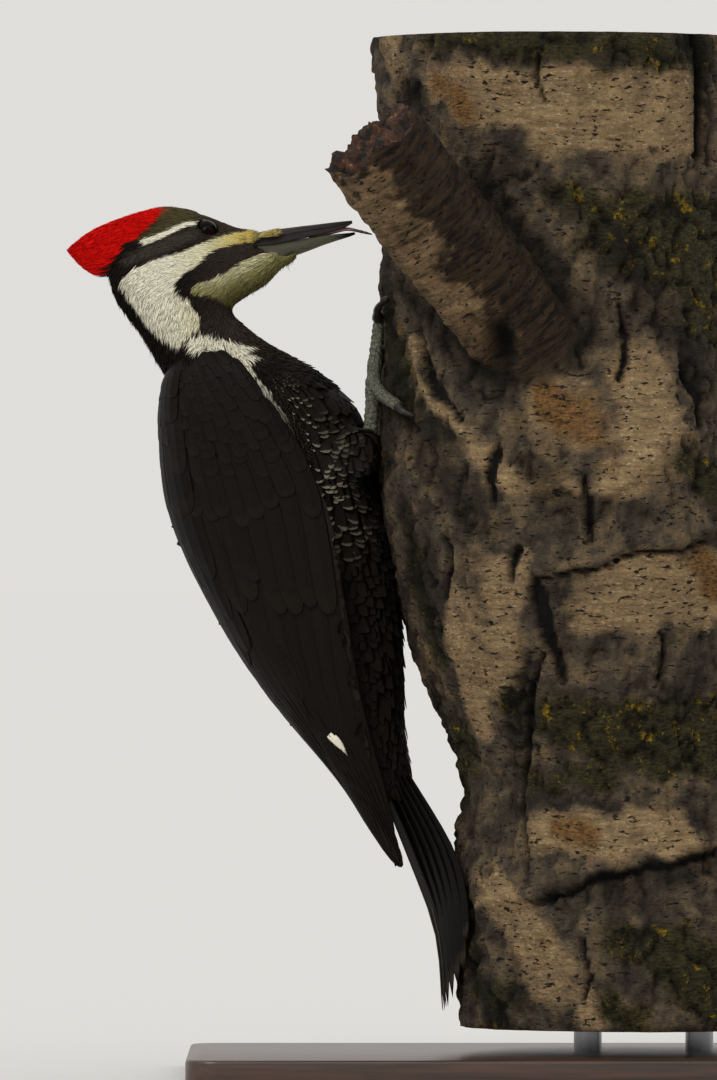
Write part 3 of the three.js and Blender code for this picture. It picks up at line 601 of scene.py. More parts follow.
def tongue_material():
    """A moist tongue: pink flesh inside the bill, and a dark horny tip with fine rough barbs."""
    made, tree, flesh = material("moist_tongue")
    place = add(tree, "TexCoord")
    out = add(tree, "Attribute", attribute_name="out")
    grain = add(tree, "TexNoise", {"Vector": place.outputs["Object"], "Scale": 1 / (0.6 * MM), "Detail": 2.0})
    pink = add(tree, "Mix", {"Factor": grain.outputs[0], "A": rgba("#7d5a55"), "B": rgba("#b08a84")},
               data_type="RGBA")
    dark = add(tree, "Mix", {"Factor": grain.outputs[0], "A": rgba("#1d1716"), "B": rgba("#4a3631")},
               data_type="RGBA")
    tone = add(tree, "Mix", {"Factor": out.outputs["Fac"], "A": pink.outputs["Result"],
                             "B": dark.outputs["Result"]}, data_type="RGBA")
    tree.links.new(tone.outputs["Result"], flesh.inputs["Base Color"])
    flesh.inputs["Roughness"].default_value = 0.4
    return made


def bark_material(axis):
    """Old aspen bark: a smooth tan-grey rind with dark specks and lying lenticels, split and mossy on its
    rough parts, with crusts of yellow lichen. It is dry and matt all over. On the branch the wrinkles run
    round its own axis."""
    made, tree, bark = material("aspen_bark")
    marks = add(tree, "Attribute", attribute_name="bark_marks")  # x pale rind, y moss, z painted shade in open cracks, the pit and deep hollows, with the knots' own dark
    looks = add(tree, "Attribute", attribute_name="bark_looks")  # x rust, y branch, z painted light and shade on it, with the branch's darker tone
    rind, moss, crack = add(tree, "SeparateXYZ", {"Vector": marks.outputs["Vector"]}).outputs
    rust, branch, light = add(tree, "SeparateXYZ", {"Vector": looks.outputs["Vector"]}).outputs
    place = add(tree, "TexCoord").outputs["Object"]
    upright = add(tree, "Mapping", {"Vector": place, "Rotation": axis}).outputs[0]
    grain = add(tree, "Mix", {"Factor": branch, "A": place, "B": upright}, data_type="VECTOR")
    grain = grain.outputs["Result"]
    lying = add(tree, "Mapping", {"Vector": grain, "Scale": (1, 1, 2.6)}).outputs[0]
    ringed = add(tree, "Mapping", {"Vector": grain, "Scale": (0.16, 0.16, 1)}).outputs[0]
    value = {}
    for name, where, size_mm, detail, rough in (
        ("blotch", place, 16, 8.0, 0.68), ("grit", place, 1.6, 4.0, 0.6), ("dashes", lying, 4.2, 4.0, 0.6),
        ("wrinkle", ringed, 2.4, 5.0, 0.65), ("flakes", lying, 2.6, 6.0, 0.7), ("scabs", place, 9, 8.0, 0.75),
    ):
        value[name] = add(tree, "TexNoise", {"Vector": where, "Scale": 1 / (size_mm * MM), "Detail": detail,
                                             "Roughness": rough}).outputs[0]
    for name, pattern, low, high in (  # where each pattern begins and ends
        ("patchy", "blotch", 0.35, 0.68), ("wrinkled", "wrinkle", 0.3, 0.66),
        ("ringed", "wrinkle", 0.38, 0.6), ("flaked", "flakes", 0.56, 0.66),
        ("crumbly", "flakes", 0.38, 0.62), ("speckless", "dashes", 0.375, 0.41),
        ("gritty", "grit", 0.4, 0.6), ("scabby", "scabs", 0.585, 0.61),
    ):
        part = add(tree, "MapRange", {"Value": value[pattern], "From Min": low, "From Max": high})
        value[name] = part.outputs[0]
    for name, pattern, gain, share in (  # each share is broken up by a pattern
        ("pale", "blotch", 3.0, rind), ("barked", "blotch", 1.6, rind), ("rotten", "blotch", 1.6, rust),
        ("damp", "blotch", 1.8, moss),
    ):
        part = add(tree, "Math", {0: value[pattern], 1: gain, 2: -gain / 2}, operation="MULTIPLY_ADD")
        part = add(tree, "Math", {0: part.outputs[0], 1: share}, operation="ADD", use_clamp=True)
        value[name] = part.outputs[0]
    tufty = add(tree, "Math", {0: value["grit"], 1: 1.6, 2: -0.8}, operation="MULTIPLY_ADD")
    tufty = add(tree, "Math", {0: tufty.outputs[0], 1: value["damp"]}, operation="ADD", use_clamp=True)
    crust = add(tree, "Math", {0: value["scabby"], 1: moss}, operation="MULTIPLY")
    value.update(mossy=tufty.outputs[0], crusted=crust.outputs[0], branch=branch, crack=crack)
    for name, share, low, high in (  # colours, each blended from two others
        ("grey", "patchy", "#2a241e", "#6e604e"), ("worn", "wrinkled", "#6f5c44", "#a98d66"),
        ("tan", "flaked", "worn", "#c4b08c"), ("rind", "pale", "grey", "tan"),
        ("decay", "crumbly", "#4d3520", "#8f683a"), ("old", "rotten", "rind", "decay"),
        ("wrung", "ringed", "#241b14", "#74583d"), ("limb", "barked", "wrung", "tan"),
        ("both", "branch", "old", "limb"), ("dotted", "speckless", "#1c1612", "both"),
        ("green", "crumbly", "#12110a", "#3f3b1c"), ("grown", "mossy", "dotted", "green"),
        ("yellow", "gritty", "#5c4a0c", "#96780f"), ("scaly", "crusted", "grown", "yellow"),
        # the near black is painted shade in the cracks, the pit and deep hollows, over the knots' own dark
        ("all", "crack", "scaly", "#0b0907"),
    ):
        ends = {key: rgba(end) if end[0] == "#" else value[end] for key, end in (("A", low), ("B", high))}
        value[name] = add(tree, "Mix", {"Factor": value[share], **ends}, data_type="RGBA").outputs["Result"]
    lit = add(tree, "VectorMath", {0: value["all"], "Scale": light}, operation="SCALE")
    rise = add(tree, "Math", {0: value["wrinkle"], 1: value["flakes"]}, operation="ADD")
    rise = add(tree, "Math", {0: rise.outputs[0], 1: value["grit"]}, operation="ADD")
    bump = add(tree, "Bump", {"Height": rise.outputs[0], "Strength": 0.9, "Distance": 1.1 * MM})
    tree.links.new(lit.outputs[0], bark.inputs["Base Color"])
    tree.links.new(bump.outputs[0], bark.inputs["Normal"])
    bark.inputs["Roughness"].default_value = 0.92
    bark.inputs["Specular IOR Level"].default_value = 0.2
    return made


def wood_material(name, dark, light, ring_mm, gloss, rot=0.0):
    """Bare aspen wood: the sawn ends show growth rings, and the broken end of the branch is fibrous and
    rotten."""
    made, tree, wood = material(name)
    place = add(tree, "TexCoord")
    warp = add(tree, "TexNoise", {"Vector": place.outputs["Object"], "Scale": 1 / (22 * MM), "Detail": 3.0})
    rings = add(tree, "TexWave", {"Vector": place.outputs["Object"], "Scale": math.pi / (10 * ring_mm * MM),
                                  "Distortion": 1.6, "Detail": 3.0, "Detail Scale": 0.25},
                wave_type="RINGS", rings_direction="Z")
    fibre = add(tree, "TexNoise", {"Vector": place.outputs["Object"], "Scale": 1 / (5.5 * MM), "Detail": 7.0,
                                   "Roughness": 0.72})
    tone = add(tree, "Mix", {"Factor": rings.outputs["Fac"], "A": rgba(dark), "B": rgba(light)},
               data_type="RGBA")
    stained = add(tree, "Mix", {"Factor": warp.outputs[0], "A": rgba("#6a5440"), "B": tone.outputs["Result"]},
                  data_type="RGBA")
    # The rotten wood goes near black in the pits between its fibres: painted shade
    pits = add(tree, "MapRange", {"Value": fibre.outputs[0], "From Min": 0.42, "From Max": 0.6})
    rotten = add(tree, "Mix", {"Factor": pits.outputs[0], "A": rgba("#070504"), "B": rgba("#4a2c17")},
                 data_type="RGBA")
    splinters = add(tree, "MapRange", {"Value": fibre.outputs[0], "From Min": 0.6, "From Max": 0.7})
    rotten = add(tree, "Mix", {"Factor": splinters.outputs[0], "A": rotten.outputs["Result"],
                               "B": rgba("#9a6a3c")}, data_type="RGBA")
    mixed = add(tree, "Mix", {"Factor": rot, "A": stained.outputs["Result"], "B": rotten.outputs["Result"]},
                data_type="RGBA")
    bump = add(tree, "Bump", {"Height": fibre.outputs[0], "Strength": 0.4 + 0.6 * rot, "Distance": 1.2 * MM})
    tree.links.new(mixed.outputs["Result"], wood.inputs["Base Color"])
    tree.links.new(bump.outputs[0], wood.inputs["Normal"])
    wood.inputs["Roughness"].default_value = gloss
    return made


def stained_board_material():
    """Dark stained hardwood under a satin lacquer: grain runs the length of the board, pores catch the
    light."""
    made, tree, board = material("stained_hardwood")
    place = add(tree, "TexCoord")
    run = add(tree, "Mapping", {"Vector": place.outputs["Object"], "Scale": (0.05, 1, 1)})
    grain = add(tree, "TexNoise", {"Vector": run.outputs[0], "Scale": 1 / (3.5 * MM), "Detail": 6.0,
                                   "Roughness": 0.6, "Distortion": 0.4})
    pores = add(tree, "TexNoise", {"Vector": run.outputs[0], "Scale": 1 / (0.9 * MM), "Detail": 3.0})
    tone = add(tree, "MapRange", {"Value": grain.outputs[0], "From Min": 0.3, "From Max": 0.7})
    colour = add(tree, "Mix", {"Factor": tone.outputs[0], "A": rgba("#1f130c"), "B": rgba("#4b3021")},
                 data_type="RGBA")
    rough = add(tree, "MapRange", {"Value": pores.outputs[0], "To Min": 0.3, "To Max": 0.52})
    bump = add(tree, "Bump", {"Height": pores.outputs[0], "Strength": 0.2, "Distance": 0.1 * MM})
    tree.links.new(colour.outputs["Result"], board.inputs["Base Color"])
    tree.links.new(rough.outputs[0], board.inputs["Roughness"])
    tree.links.new(bump.outputs[0], board.inputs["Normal"])
    board.inputs["Coat Weight"].default_value = 0.3
    board.inputs["Coat Roughness"].default_value = 0.25
    return made


def steel_material():
    """Brushed steel rod: fine turning lines round the rod draw its highlight out lengthwise."""
    made, tree, steel = material("brushed_steel")
    place = add(tree, "TexCoord")
    squash = add(tree, "Mapping", {"Vector": place.outputs["Object"], "Scale": (0.1, 0.1, 1)})
    lines = add(tree, "TexNoise", {"Vector": squash.outputs[0], "Scale": 1 / (0.3 * MM), "Detail": 2.0})
    colour = add(tree, "Mix", {"Factor": lines.outputs[0], "A": rgba("#9a9c9f"), "B": rgba("#c3c5c8")},
                 data_type="RGBA")
    rough = add(tree, "MapRange", {"Value": lines.outputs[0], "To Min": 0.22, "To Max": 0.42})
    tree.links.new(colour.outputs["Result"], steel.inputs["Base Color"])
    tree.links.new(rough.outputs[0], steel.inputs["Roughness"])
    steel.inputs["Metallic"].default_value = 1.0
    return made


def plain_material(name, hexcode):
    """Matt studio paper."""
    made, _, paper = material(name)
    paper.inputs["Base Color"].default_value = rgba(hexcode)
    paper.inputs["Roughness"].default_value = 0.9
    paper.inputs["Specular IOR Level"].default_value = 0.1
    return made


# ---------------------------------------------------------------- plumage: lie and markings

def lie(points):
    """The way the plumage points at each place, before it is laid flat on the skin."""
    flat = points[:, [0, 2]] / MM
    strokes = np.array([place for place, _ in COMB], float)
    ways = unit(np.array([way for _, way in COMB], float))
    gap = ((flat[:, None] - strokes) ** 2).sum(2)
    weight = 1 / (gap + COMB_SOFTNESS**2) ** 2
    way = (weight[..., None] * ways).sum(1)
    return unit(np.stack([way[:, 0], np.zeros(len(way)), way[:, 1]], 1))


BLACK = linear("#1a1613")
BROWN_BLACK = linear("#1c1713")
CREAM = linear("#ded9b6")
WHITE = linear("#e4e0cb")
YELLOW = linear("#cfb65e")
OLIVE = linear("#746c40")
RED = linear("#c80a05")


def blend_in(colour, new, share):
    """Rows of colour, each blended toward a new one by its share."""
    return colour + (np.asarray(new) - colour) * share[:, None]


def graded(colours, place):
    """Colours that run one into the next, for places from 0 to the number of the last."""
    colours = np.array(colours)
    i = np.minimum(place.astype(int), len(colours) - 2)
    return colours[i] + (colours[i + 1] - colours[i]) * (place - i)[:, None]


def markings(points, softness=0.3):
    """The plumage's colour at each place, the same on both sides."""
    flat = points[:, [0, 2]] / MM
    x, z = flat[:, 0], flat[:, 1]
    colour = np.tile(BLACK, (len(flat), 1))

    def lay(new, depth, soft=softness):
        nonlocal colour
        colour = blend_in(colour, new, smooth(-soft, soft, depth))

    colour = blend_in(colour, linear("#3a332c"), smooth(300, 322, z) * smooth(-165, -140, x))
    lay(linear("#4a442c"), within(flat, OLIVE_FORECROWN), 2.0)
    lay(linear("#3f3a32"), near_stroke(flat, EAR_GREY), 2.0)
    stripe = [YELLOW, linear("#d8cb83"), CREAM, WHITE]
    lay(graded(stripe, np.interp(x, [-168, -152, -142, -133], [3, 2, 1, 0])), within(flat, CREAM_STRIPE))
    # The pale throat turns olive toward its lower edge and toward the bill: painted shade under the jaw
    chin = [OLIVE, linear("#a39c69"), linear("#cfc9a4")]
    line = np.interp(x, [-158, -144, -130, -116], [336.5, 338.5, 346, 353])
    place = np.interp(z - line, [-6, 0, 4.5], [0, 1, 2]) * np.interp(x, [-130, -116], [1, 0.45])
    lay(graded(chin, place), within(flat, THROAT))
    lay(WHITE, near_stroke(flat, BROW))
    # The white dims to near black toward its lower end: painted shade over those feathers
    lay(WHITE * np.interp(z, [273, 301], [0.04, 1])[:, None] ** 1.5, within(flat, SHOULDER_WHITE))
    lay(RED, within(flat, RED_CREST))
    return colour


def fringes(points):
    """How pale the fringes of the feathers are, from 0 on most of the bird to 1 on the barred flank."""
    flat = points[:, [0, 2]] / MM
    beside_wing = smooth(-15, -5, near_stroke(flat, WING_EDGE))
    low = smooth(306, 296, flat[:, 1])
    return smooth(-8, 4, near_stroke(flat, FLANK_BARS)) * (0.22 + 0.4 * beside_wing) * (0.25 + 0.75 * low)


# ---------------------------------------------------------------- plumage: laid feathers

def blade(section, widths, stations=None):
    """One feather's pattern: a closed solid with a cross section (across, height), and a width at each of
    its rings, which stand at the given shares of its length and end in a point."""
    widths = np.array([*widths, 0.0])
    sides, rings = len(section), len(widths)
    shape = cage(sides, rings, pointed=True)
    bmesh.ops.triangulate(shape, faces=shape.faces)
    ring, side = ring_and_side(shape, sides)
    across, height = np.array(section, float).T
    faces = np.array([[v.index for v in f.verts] for f in shape.faces])
    shape.free()
    width = widths[ring]
    return {
        "ring": ring,
        "share": np.linspace(0, 1, rings) if stations is None else np.array([*stations, 1.0]),
        "across": across[side] * width,
        "height": height[side] * np.minimum(1, 0.3 + width) * (width > 0),
        "faces": faces,
    }


BARB_TUFT = blade([(-1, 0), (0, 1), (1, 0)], [0.7, 1, 0.9, 0.55])
SMALL_VANE = blade([(-1, 0), (0, 1), (1, 0), (0, -0.6)], [0.35, 0.9, 1, 0.85, 0.5], [0, 0.3, 0.6, 0.8, 0.93])
VANE = blade(
    [(-1, -0.1), (-0.5, 0.35), (0, 1), (0.5, 0.35), (1, -0.1), (0, -0.6)],
    [0.35, 0.85, 1, 1, 0.86, 0.52], [0, 0.25, 0.5, 0.7, 0.85, 0.95],
)
STIFF = [(-1, -0.1), (-0.9, 0.15), (-0.12, 0.4), (0, 1), (0.12, 0.4), (0.9, 0.15), (1, -0.1), (0, -0.5)]
QUILL = blade(
    STIFF, [0.5, 0.8, 0.95, 1, 1, 1, 1, 0.98, 0.92, 0.8, 0.62, 0.36],
    [0, 0.1, 0.2, 0.32, 0.44, 0.56, 0.68, 0.79, 0.87, 0.93, 0.965, 0.99],
)
TAIL_QUILL = blade(
    STIFF, [0.75, 0.85, 0.92, 0.97, 1, 1, 1, 0.98, 0.92, 0.82, 0.66, 0.44],
)
STEPS = 13  # places worked out along a stiff feather's path


def between(rows, share):
    """Values along each row of an array at shares of its length."""
    spot = share * (rows.shape[1] - 1)
    low = np.minimum(spot.astype(int), rows.shape[1] - 2)
    part = (spot - low)[None, :, None]
    return rows[:, low] * (1 - part) + rows[:, low + 1] * part


def laid(name, cut, path, up, half, thick, colour, tips, finish, uv, tilt=0.0, droop=0.1, rim=0.0,
         stands_for=()):
    """A piece of joined feathers. Each one is the same cut, bent along its own path (feathers, rings, 3)
    with its upper side toward up, and has its own half width, thickness, root colour, tip colour and place
    on the unwrap."""
    count, ring = len(path), cut["ring"]
    path, up = between(path, cut["share"]), between(up, cut["share"])
    ahead = np.gradient(path, axis=1)
    side = unit(np.cross(ahead, up))
    over = unit(np.cross(side, ahead))
    half = np.broadcast_to(half, count)[:, None, None]
    tilt = np.broadcast_to(tilt, count)[:, None, None]
    across, height = cut["across"][None, :, None], cut["height"][None, :, None]
    places = path[:, ring] + side[:, ring] * across * half
    places = places + over[:, ring] * (height * thick + across * tilt - droop * half * across**2)
    faces = (cut["faces"][None] + (np.arange(count) * len(ring))[:, None, None]).reshape(-1, 3)
    mesh = bpy.data.meshes.new(name)
    mesh.vertices.add(count * len(ring))
    mesh.vertices.foreach_set("co", places.astype(np.float32).ravel())
    mesh.loops.add(faces.size)
    mesh.loops.foreach_set("vertex_index", faces.astype(np.int32).ravel())
    mesh.polygons.add(len(faces))
    mesh.polygons.foreach_set("loop_start", np.arange(0, faces.size, 3, dtype=np.int32))
    mesh.polygons.foreach_set("use_smooth", np.ones(len(faces), bool))
    mesh.update(calc_edges=True)
    share = cut["share"][ring]
    # Colour runs from root to tip; where a caller gives a darker root, that is painted shade where the
    # feather lies under the ones over it
    tone = colour[:, None] + (tips - colour)[:, None] * (share**2)[None, :, None]
    keep_numbers(mesh, "plumage", "FLOAT_COLOR", np.concatenate([tone, np.ones((*tone.shape[:2], 1))], 2))
    length = np.linalg.norm(np.diff(path, axis=1), axis=2).sum(1)
    vane = np.empty((count, len(ring), 3))
    vane[..., 0] = cut["across"] * half[..., 0] / MM
    vane[..., 1] = share * length[:, None] / MM
    vane[..., 2] = np.arange(count)[:, None] % GRAIN_NUMBERS / GRAIN_NUMBERS
    keep_numbers(mesh, "vane", "FLOAT_VECTOR", vane)
    edge = np.empty((count, len(ring), 3))
    edge[..., 0], edge[..., 1] = np.abs(cut["across"]), share
    edge[..., 2] = np.broadcast_to(rim, count)[:, None]
    keep_numbers(mesh, "rim", "FLOAT_VECTOR", edge)
    layer = mesh.uv_layers.new(name="OFBake")
    patch = np.stack([cut["across"] * UV_PATCH[0], (share - 0.5) * UV_PATCH[1]], 1)
    spread = (uv[:, None] + patch[None]).reshape(-1, 2)[faces.ravel()]
    layer.data.foreach_set("uv", spread.astype(np.float32).ravel())
    show(name, mesh, [finish], stands_for)


def walk(tree, start, length, rings, turn):
    """Paths that leave their start and follow the lie over the skin, ring by ring, with the skin's
    normals."""
    here, up, _, _ = onto(tree, start)
    path, ups = [here], [up]
    for _ in range(rings - 1):
        way = lie(here)
        way = unit(way - up * (way * up).sum(1, keepdims=True))
        sideways = np.cross(up, way)
        way = way * np.cos(turn)[:, None] + sideways * np.sin(turn)[:, None]
        here, up, _, _ = onto(tree, here + way * (length / (rings - 1))[:, None])
        path.append(here)
        ups.append(up)
    return np.stack(path, 1), unit(np.stack(ups, 1))


def lifted(path, up, low, high, power=1.3):
    """A path raised off the skin from low at its root to high at its tip."""
    share = np.linspace(0, 1, path.shape[1]) ** power
    rise = low + (np.broadcast_to(high, len(path))[:, None] - low) * share
    return path + up * rise[..., None]


# Tracts of the coat: spacing, length, half width, thickness and lift of the tip in mm, and the cut of the
# feather
TRACTS = {
    "lores": (0.50, 2.8, 0.22, 0.10, 0.35, BARB_TUFT),
    "face": (0.60, 4.4, 0.27, 0.12, 0.45, BARB_TUFT),
    "crown": (0.62, 5.2, 0.30, 0.12, 0.40, BARB_TUFT),
    "crest": (0.72, 11.0, 0.38, 0.16, 0.85, BARB_TUFT),
    "throat": (0.62, 4.6, 0.27, 0.12, 0.75, BARB_TUFT),
    "neck": (0.70, 8.0, 0.34, 0.14, 1.00, BARB_TUFT),
    "nape": (0.80, 9.0, 0.38, 0.16, 1.90, BARB_TUFT),
    "mantle": (1.45, 8.5, 1.25, 0.22, 1.10, SMALL_VANE),
    "shoulder": (0.80, 8.5, 0.42, 0.18, 1.20, BARB_TUFT),
    "thigh": (3.0, 11.0, 3.40, 0.22, 1.40, VANE),
    "breast": (3.9, 13.0, 4.60, 0.24, 1.50, VANE),
    "rump": (3.3, 15.0, 3.30, 0.28, 1.20, VANE),
    "underwing": (3.8, 14.0, 3.60, 0.25, 0.40, VANE),
}
TRACT_NAMES = list(TRACTS)


def tract_of(points, node):
    """The number of each place's tract, from its (x, z) and the solid it lies on."""
    flat = points[:, [0, 2]] / MM
    x, z = flat.T
    tract = np.full(len(flat), TRACT_NAMES.index("breast"))

    def put(name, where):
        tract[where] = TRACT_NAMES.index(name)

    put("rump", (z < 185) & (x > -130))
    put("mantle", (z > 300) & (node == "torso"))
    put("mantle", (z > 293) & (x < -160) & (node == "torso"))
    put("neck", node == "neck")
    put("face", node == "head")
    put("crown", (node == "head") & (z > 364))
    put("lores", (node == "head") & (x > -141) & (z > 350))
    put("throat", (node == "head") & (within(flat, THROAT) > -1.0))
    put("neck", (node == "head") & (x < -176) & (z < 353))
    put("nape", (node != "crest") & (z < 352) & (z > 306) & (x < np.interp(z, [312, 345], [-168, -183])))
    put("crest", (node == "crest") | ((node == "head") & (within(flat, RED_CREST) > 0)))
    put("shoulder", within(flat, SHOULDER_WHITE) > -3.5)
    put("shoulder", (node == "torso") & (within(flat, CREAM_STRIPE) > -2))
    put("thigh", node == "thigh")
    put("underwing", node == "wing")
    return tract


def spread_roots(mesh, node_at, rng):
    """Places over the skin, denser in the tracts with finer feathers: one to each cell of the tract's
    spacing."""
    mesh.calc_loop_triangles()
    corner = places_of(mesh)[fields(mesh.loop_triangles, "vertices", 3)]
    cross = np.cross(corner[:, 1] - corner[:, 0], corner[:, 2] - corner[:, 0])
    area = np.linalg.norm(cross, axis=1) / 2
    middle = corner.mean(1)
    tract = tract_of(middle, node_at(middle))
    spacing = np.array([TRACTS[n][0] for n in TRACT_NAMES]) * MM
    want = area / spacing[tract] ** 2
    picks = rng.choice(len(area), size=int(want.sum() * 6), p=want / want.sum())
    a, b = rng.random((2, len(picks), 1))
    a, b = np.where(a + b > 1, 1 - a, a), np.where(a + b > 1, 1 - b, b)
    tri = corner[picks]
    place = tri[:, 0] + (tri[:, 1] - tri[:, 0]) * a + (tri[:, 2] - tri[:, 0]) * b
    kind = tract[picks]
    cells = np.column_stack([kind, np.floor(place / spacing[kind][:, None])]).astype(int)
    _, first = np.unique(cells, axis=0, return_index=True)
    return place[first], kind[first]


def neighbourly(points, values):
    """Values at points, each mixed with those of the points within a few millimetres."""
    cell = np.floor(points / (NEIGHBOUR_CELL * MM)).astype(int)
    cell -= cell.min(0) - 1
    shape = cell.max(0) + 2
    number = np.ravel_multi_index(cell.T, shape)
    total = np.stack([np.bincount(number, v, np.prod(shape)) for v in [np.ones(len(points)), *values.T]])
    steps = np.indices((3, 3, 3)).reshape(3, -1).T - 1
    mixed = sum(total[:, np.ravel_multi_index((cell + step).T, shape)] for step in steps)
    return (mixed[1:] / mixed[0]).T


def unwrap_places(mesh):
    """Makes an unwrap of the skin's own shape and returns a function from places on it to their UV."""
    coarse = remeshed(copied(mesh), UNWRAP_VOXEL * MM)
    holder = into_scene("unwrapping", coarse)
    bpy.context.view_layer.objects.active = holder
    holder.select_set(True)
    bpy.ops.object.mode_set(mode="EDIT")
    bpy.ops.mesh.select_all(action="SELECT")
    bpy.ops.uv.smart_project(angle_limit=math.radians(66), island_margin=0.004)
    bpy.ops.object.mode_set(mode="OBJECT")
    coarse.calc_loop_triangles()
    corners = fields(coarse.loop_triangles, "vertices", 3)
    loops = fields(coarse.loop_triangles, "loops", 3)
    uv = fields(coarse.uv_layers.active.data, "uv", 2, np.float32)[loops]
    where = places_of(coarse)
    tree = BVHTree.FromPolygons(where.tolist(), corners.tolist())
    bpy.data.objects.remove(holder)

    def lookup(points):
        spot, _, face, _ = onto(tree, points)
        a, b, c = (where[corners[face, i]] for i in range(3))
        whole = np.cross(b - a, c - a)
        size = np.maximum((whole**2).sum(1), 1e-20)
        share_b = (np.cross(spot - a, c - a) * whole).sum(1) / size
        share_c = (np.cross(b - a, spot - a) * whole).sum(1) / size
        share_a = 1 - share_b - share_c
        return sum(uv[face, i] * s[:, None] for i, s in enumerate((share_a, share_b, share_c)))

    return lookup


# ---------------------------------------------------------------- the bird

def make_skin():
    """One skin round all the flesh, to be sunk inside the solids by the depth of the coat in make_bird.
    Returns its mesh.
    """
    flesh = cad_copy(FLESH, CUT_FILL * MM)
    back, front = Vector(CHIN_WEDGE[0][:3]) * MM, Vector(CHIN_WEDGE[1][:3]) * MM
    turned = (front - back).to_track_quat("Z", "Y").to_matrix().to_4x4()
    bmesh.ops.create_cone(flesh, cap_ends=True, segments=24, radius1=CHIN_WEDGE[0][3] * MM,
                          radius2=CHIN_WEDGE[1][3] * MM, depth=(front - back).length,
                          matrix=Matrix.Translation((front + back) / 2) @ turned)
    mesh = remeshed(flesh, SKIN_VOXEL * MM)
    relax(mesh, 3)
    relax(mesh, 9, lambda co: co.z < HEAD_ABOVE * MM)
    return mesh


def node_finder():
    """A function from places to the name of the flesh solid that each is nearest to, left and right alike."""
    parts, names = bmesh.new(), []
    for name in FLESH:
        part = cad_copy([name])
        names += [name.replace("_left", "").replace("_right", "")] * len(part.faces)
        join(parts, part)
    tree = BVHTree.FromBMesh(parts)
    parts.free()
    names = np.array(names)
    return lambda points: names[onto(tree, points)[2]]


def wing_place(side, a, c):
    """A place on the folded wing's outer side: a runs from shoulder to tip, c from the back edge to the
    front."""
    back, front = along(WING_BACK, a), along(WING_FRONT, a)
    hub = np.stack([front[..., 0], back[..., 1], (back[..., 2] + front[..., 2]) / 2], -1)
    angle = (np.asarray(c) * math.pi / 2)[..., None]
    place = hub + (back - hub) * np.cos(angle) + (front - hub) * np.sin(angle)
    return place * np.array([1, side, 1]) * MM


def wing_up(side, a, c):
    """The wing's outward normal at (a, c)."""
    step = 0.01
    down = wing_place(side, a + step, c) - wing_place(side, a - step, c)
    over = wing_place(side, a, c + step) - wing_place(side, a, c - step)
    return unit(np.cross(over, down)) * side


def wing_cover(side):
    """The wing's outer side as a tree, to tell where its own feather rows already cover the skin."""
    a, c = np.meshgrid(np.linspace(0.02, 0.99, 60), np.linspace(0.02, 0.98, 16), indexing="ij")
    points = wing_place(side, a, c).reshape(-1, 3)
    number = np.arange(len(points)).reshape(60, 16)
    quads = np.stack([number[:-1, :-1], number[1:, :-1], number[1:, 1:], number[:-1, 1:]], -1).reshape(-1, 4)
    if side > 0:
        quads = quads[:, ::-1]
    return BVHTree.FromPolygons(points.tolist(), quads.tolist())


def wing_rows(rng):
    """Every feather of one folded wing: root (a, c), tip (a, c), half width, lift at root and tip, and
    kind."""
    rows = []

    def row(a, length, count, half, low, high, c_from=0.02, c_to=0.98, kind=0):
        for i in range(count):
            c = c_from + (c_to - c_from) * (i + 0.5 + rng.normal(0, 0.14)) / count
            stretch = 1 + rng.normal(0, 0.1)
            rows.append((a + rng.normal(0, 0.006), c, a + length * stretch, c, half, low, high, kind))

    tips = [0.83, 0.87, 0.91, 0.95, 0.98, 1.0, 0.985, 0.955, 0.91]
    ends = [0.24, 0.30, 0.37, 0.44, 0.50, 0.58, 0.68, 0.80, 0.92]
    for i in range(9):  # primaries, each under the one before it
        share = i / 8
        rows.append((0.44, 0.38 + 0.6 * share, tips[i], ends[i], 5.6 - share, 1.35 - 0.7 * share,
                     1.25 - 0.7 * share, 2))
    for i in range(10):  # secondaries and tertials, the innermost on top and longest
        share = i / 9
        rows.append((0.38, 0.05 + 0.5 * share, 0.80 - 0.17 * share + rng.normal(0, 0.006),
                     0.03 + 0.56 * share, 6.6, 1.7 - 0.8 * share, 1.9 - 0.9 * share, 1))
    row(0.33, 0.19, 12, 5.0, 0.7, 1.75, kind=1)  # greater coverts
    row(0.285, 0.12, 12, 4.6, 0.7, 1.7)  # median coverts
    for i in range(10):  # lesser coverts
        row(0.255 - 0.026 * i, 0.085, 12 - i // 2, 3.8 - 0.12 * i, 0.45, 1.45 - 0.04 * i)
    for i in range(7):  # scapulars over the back edge
        row(0.03 + 0.055 * i, 0.14 + 0.014 * i, 4, 4.6 + 0.2 * i, 1.0, 2.2, 0.0, 0.36)
    return np.array(rows)


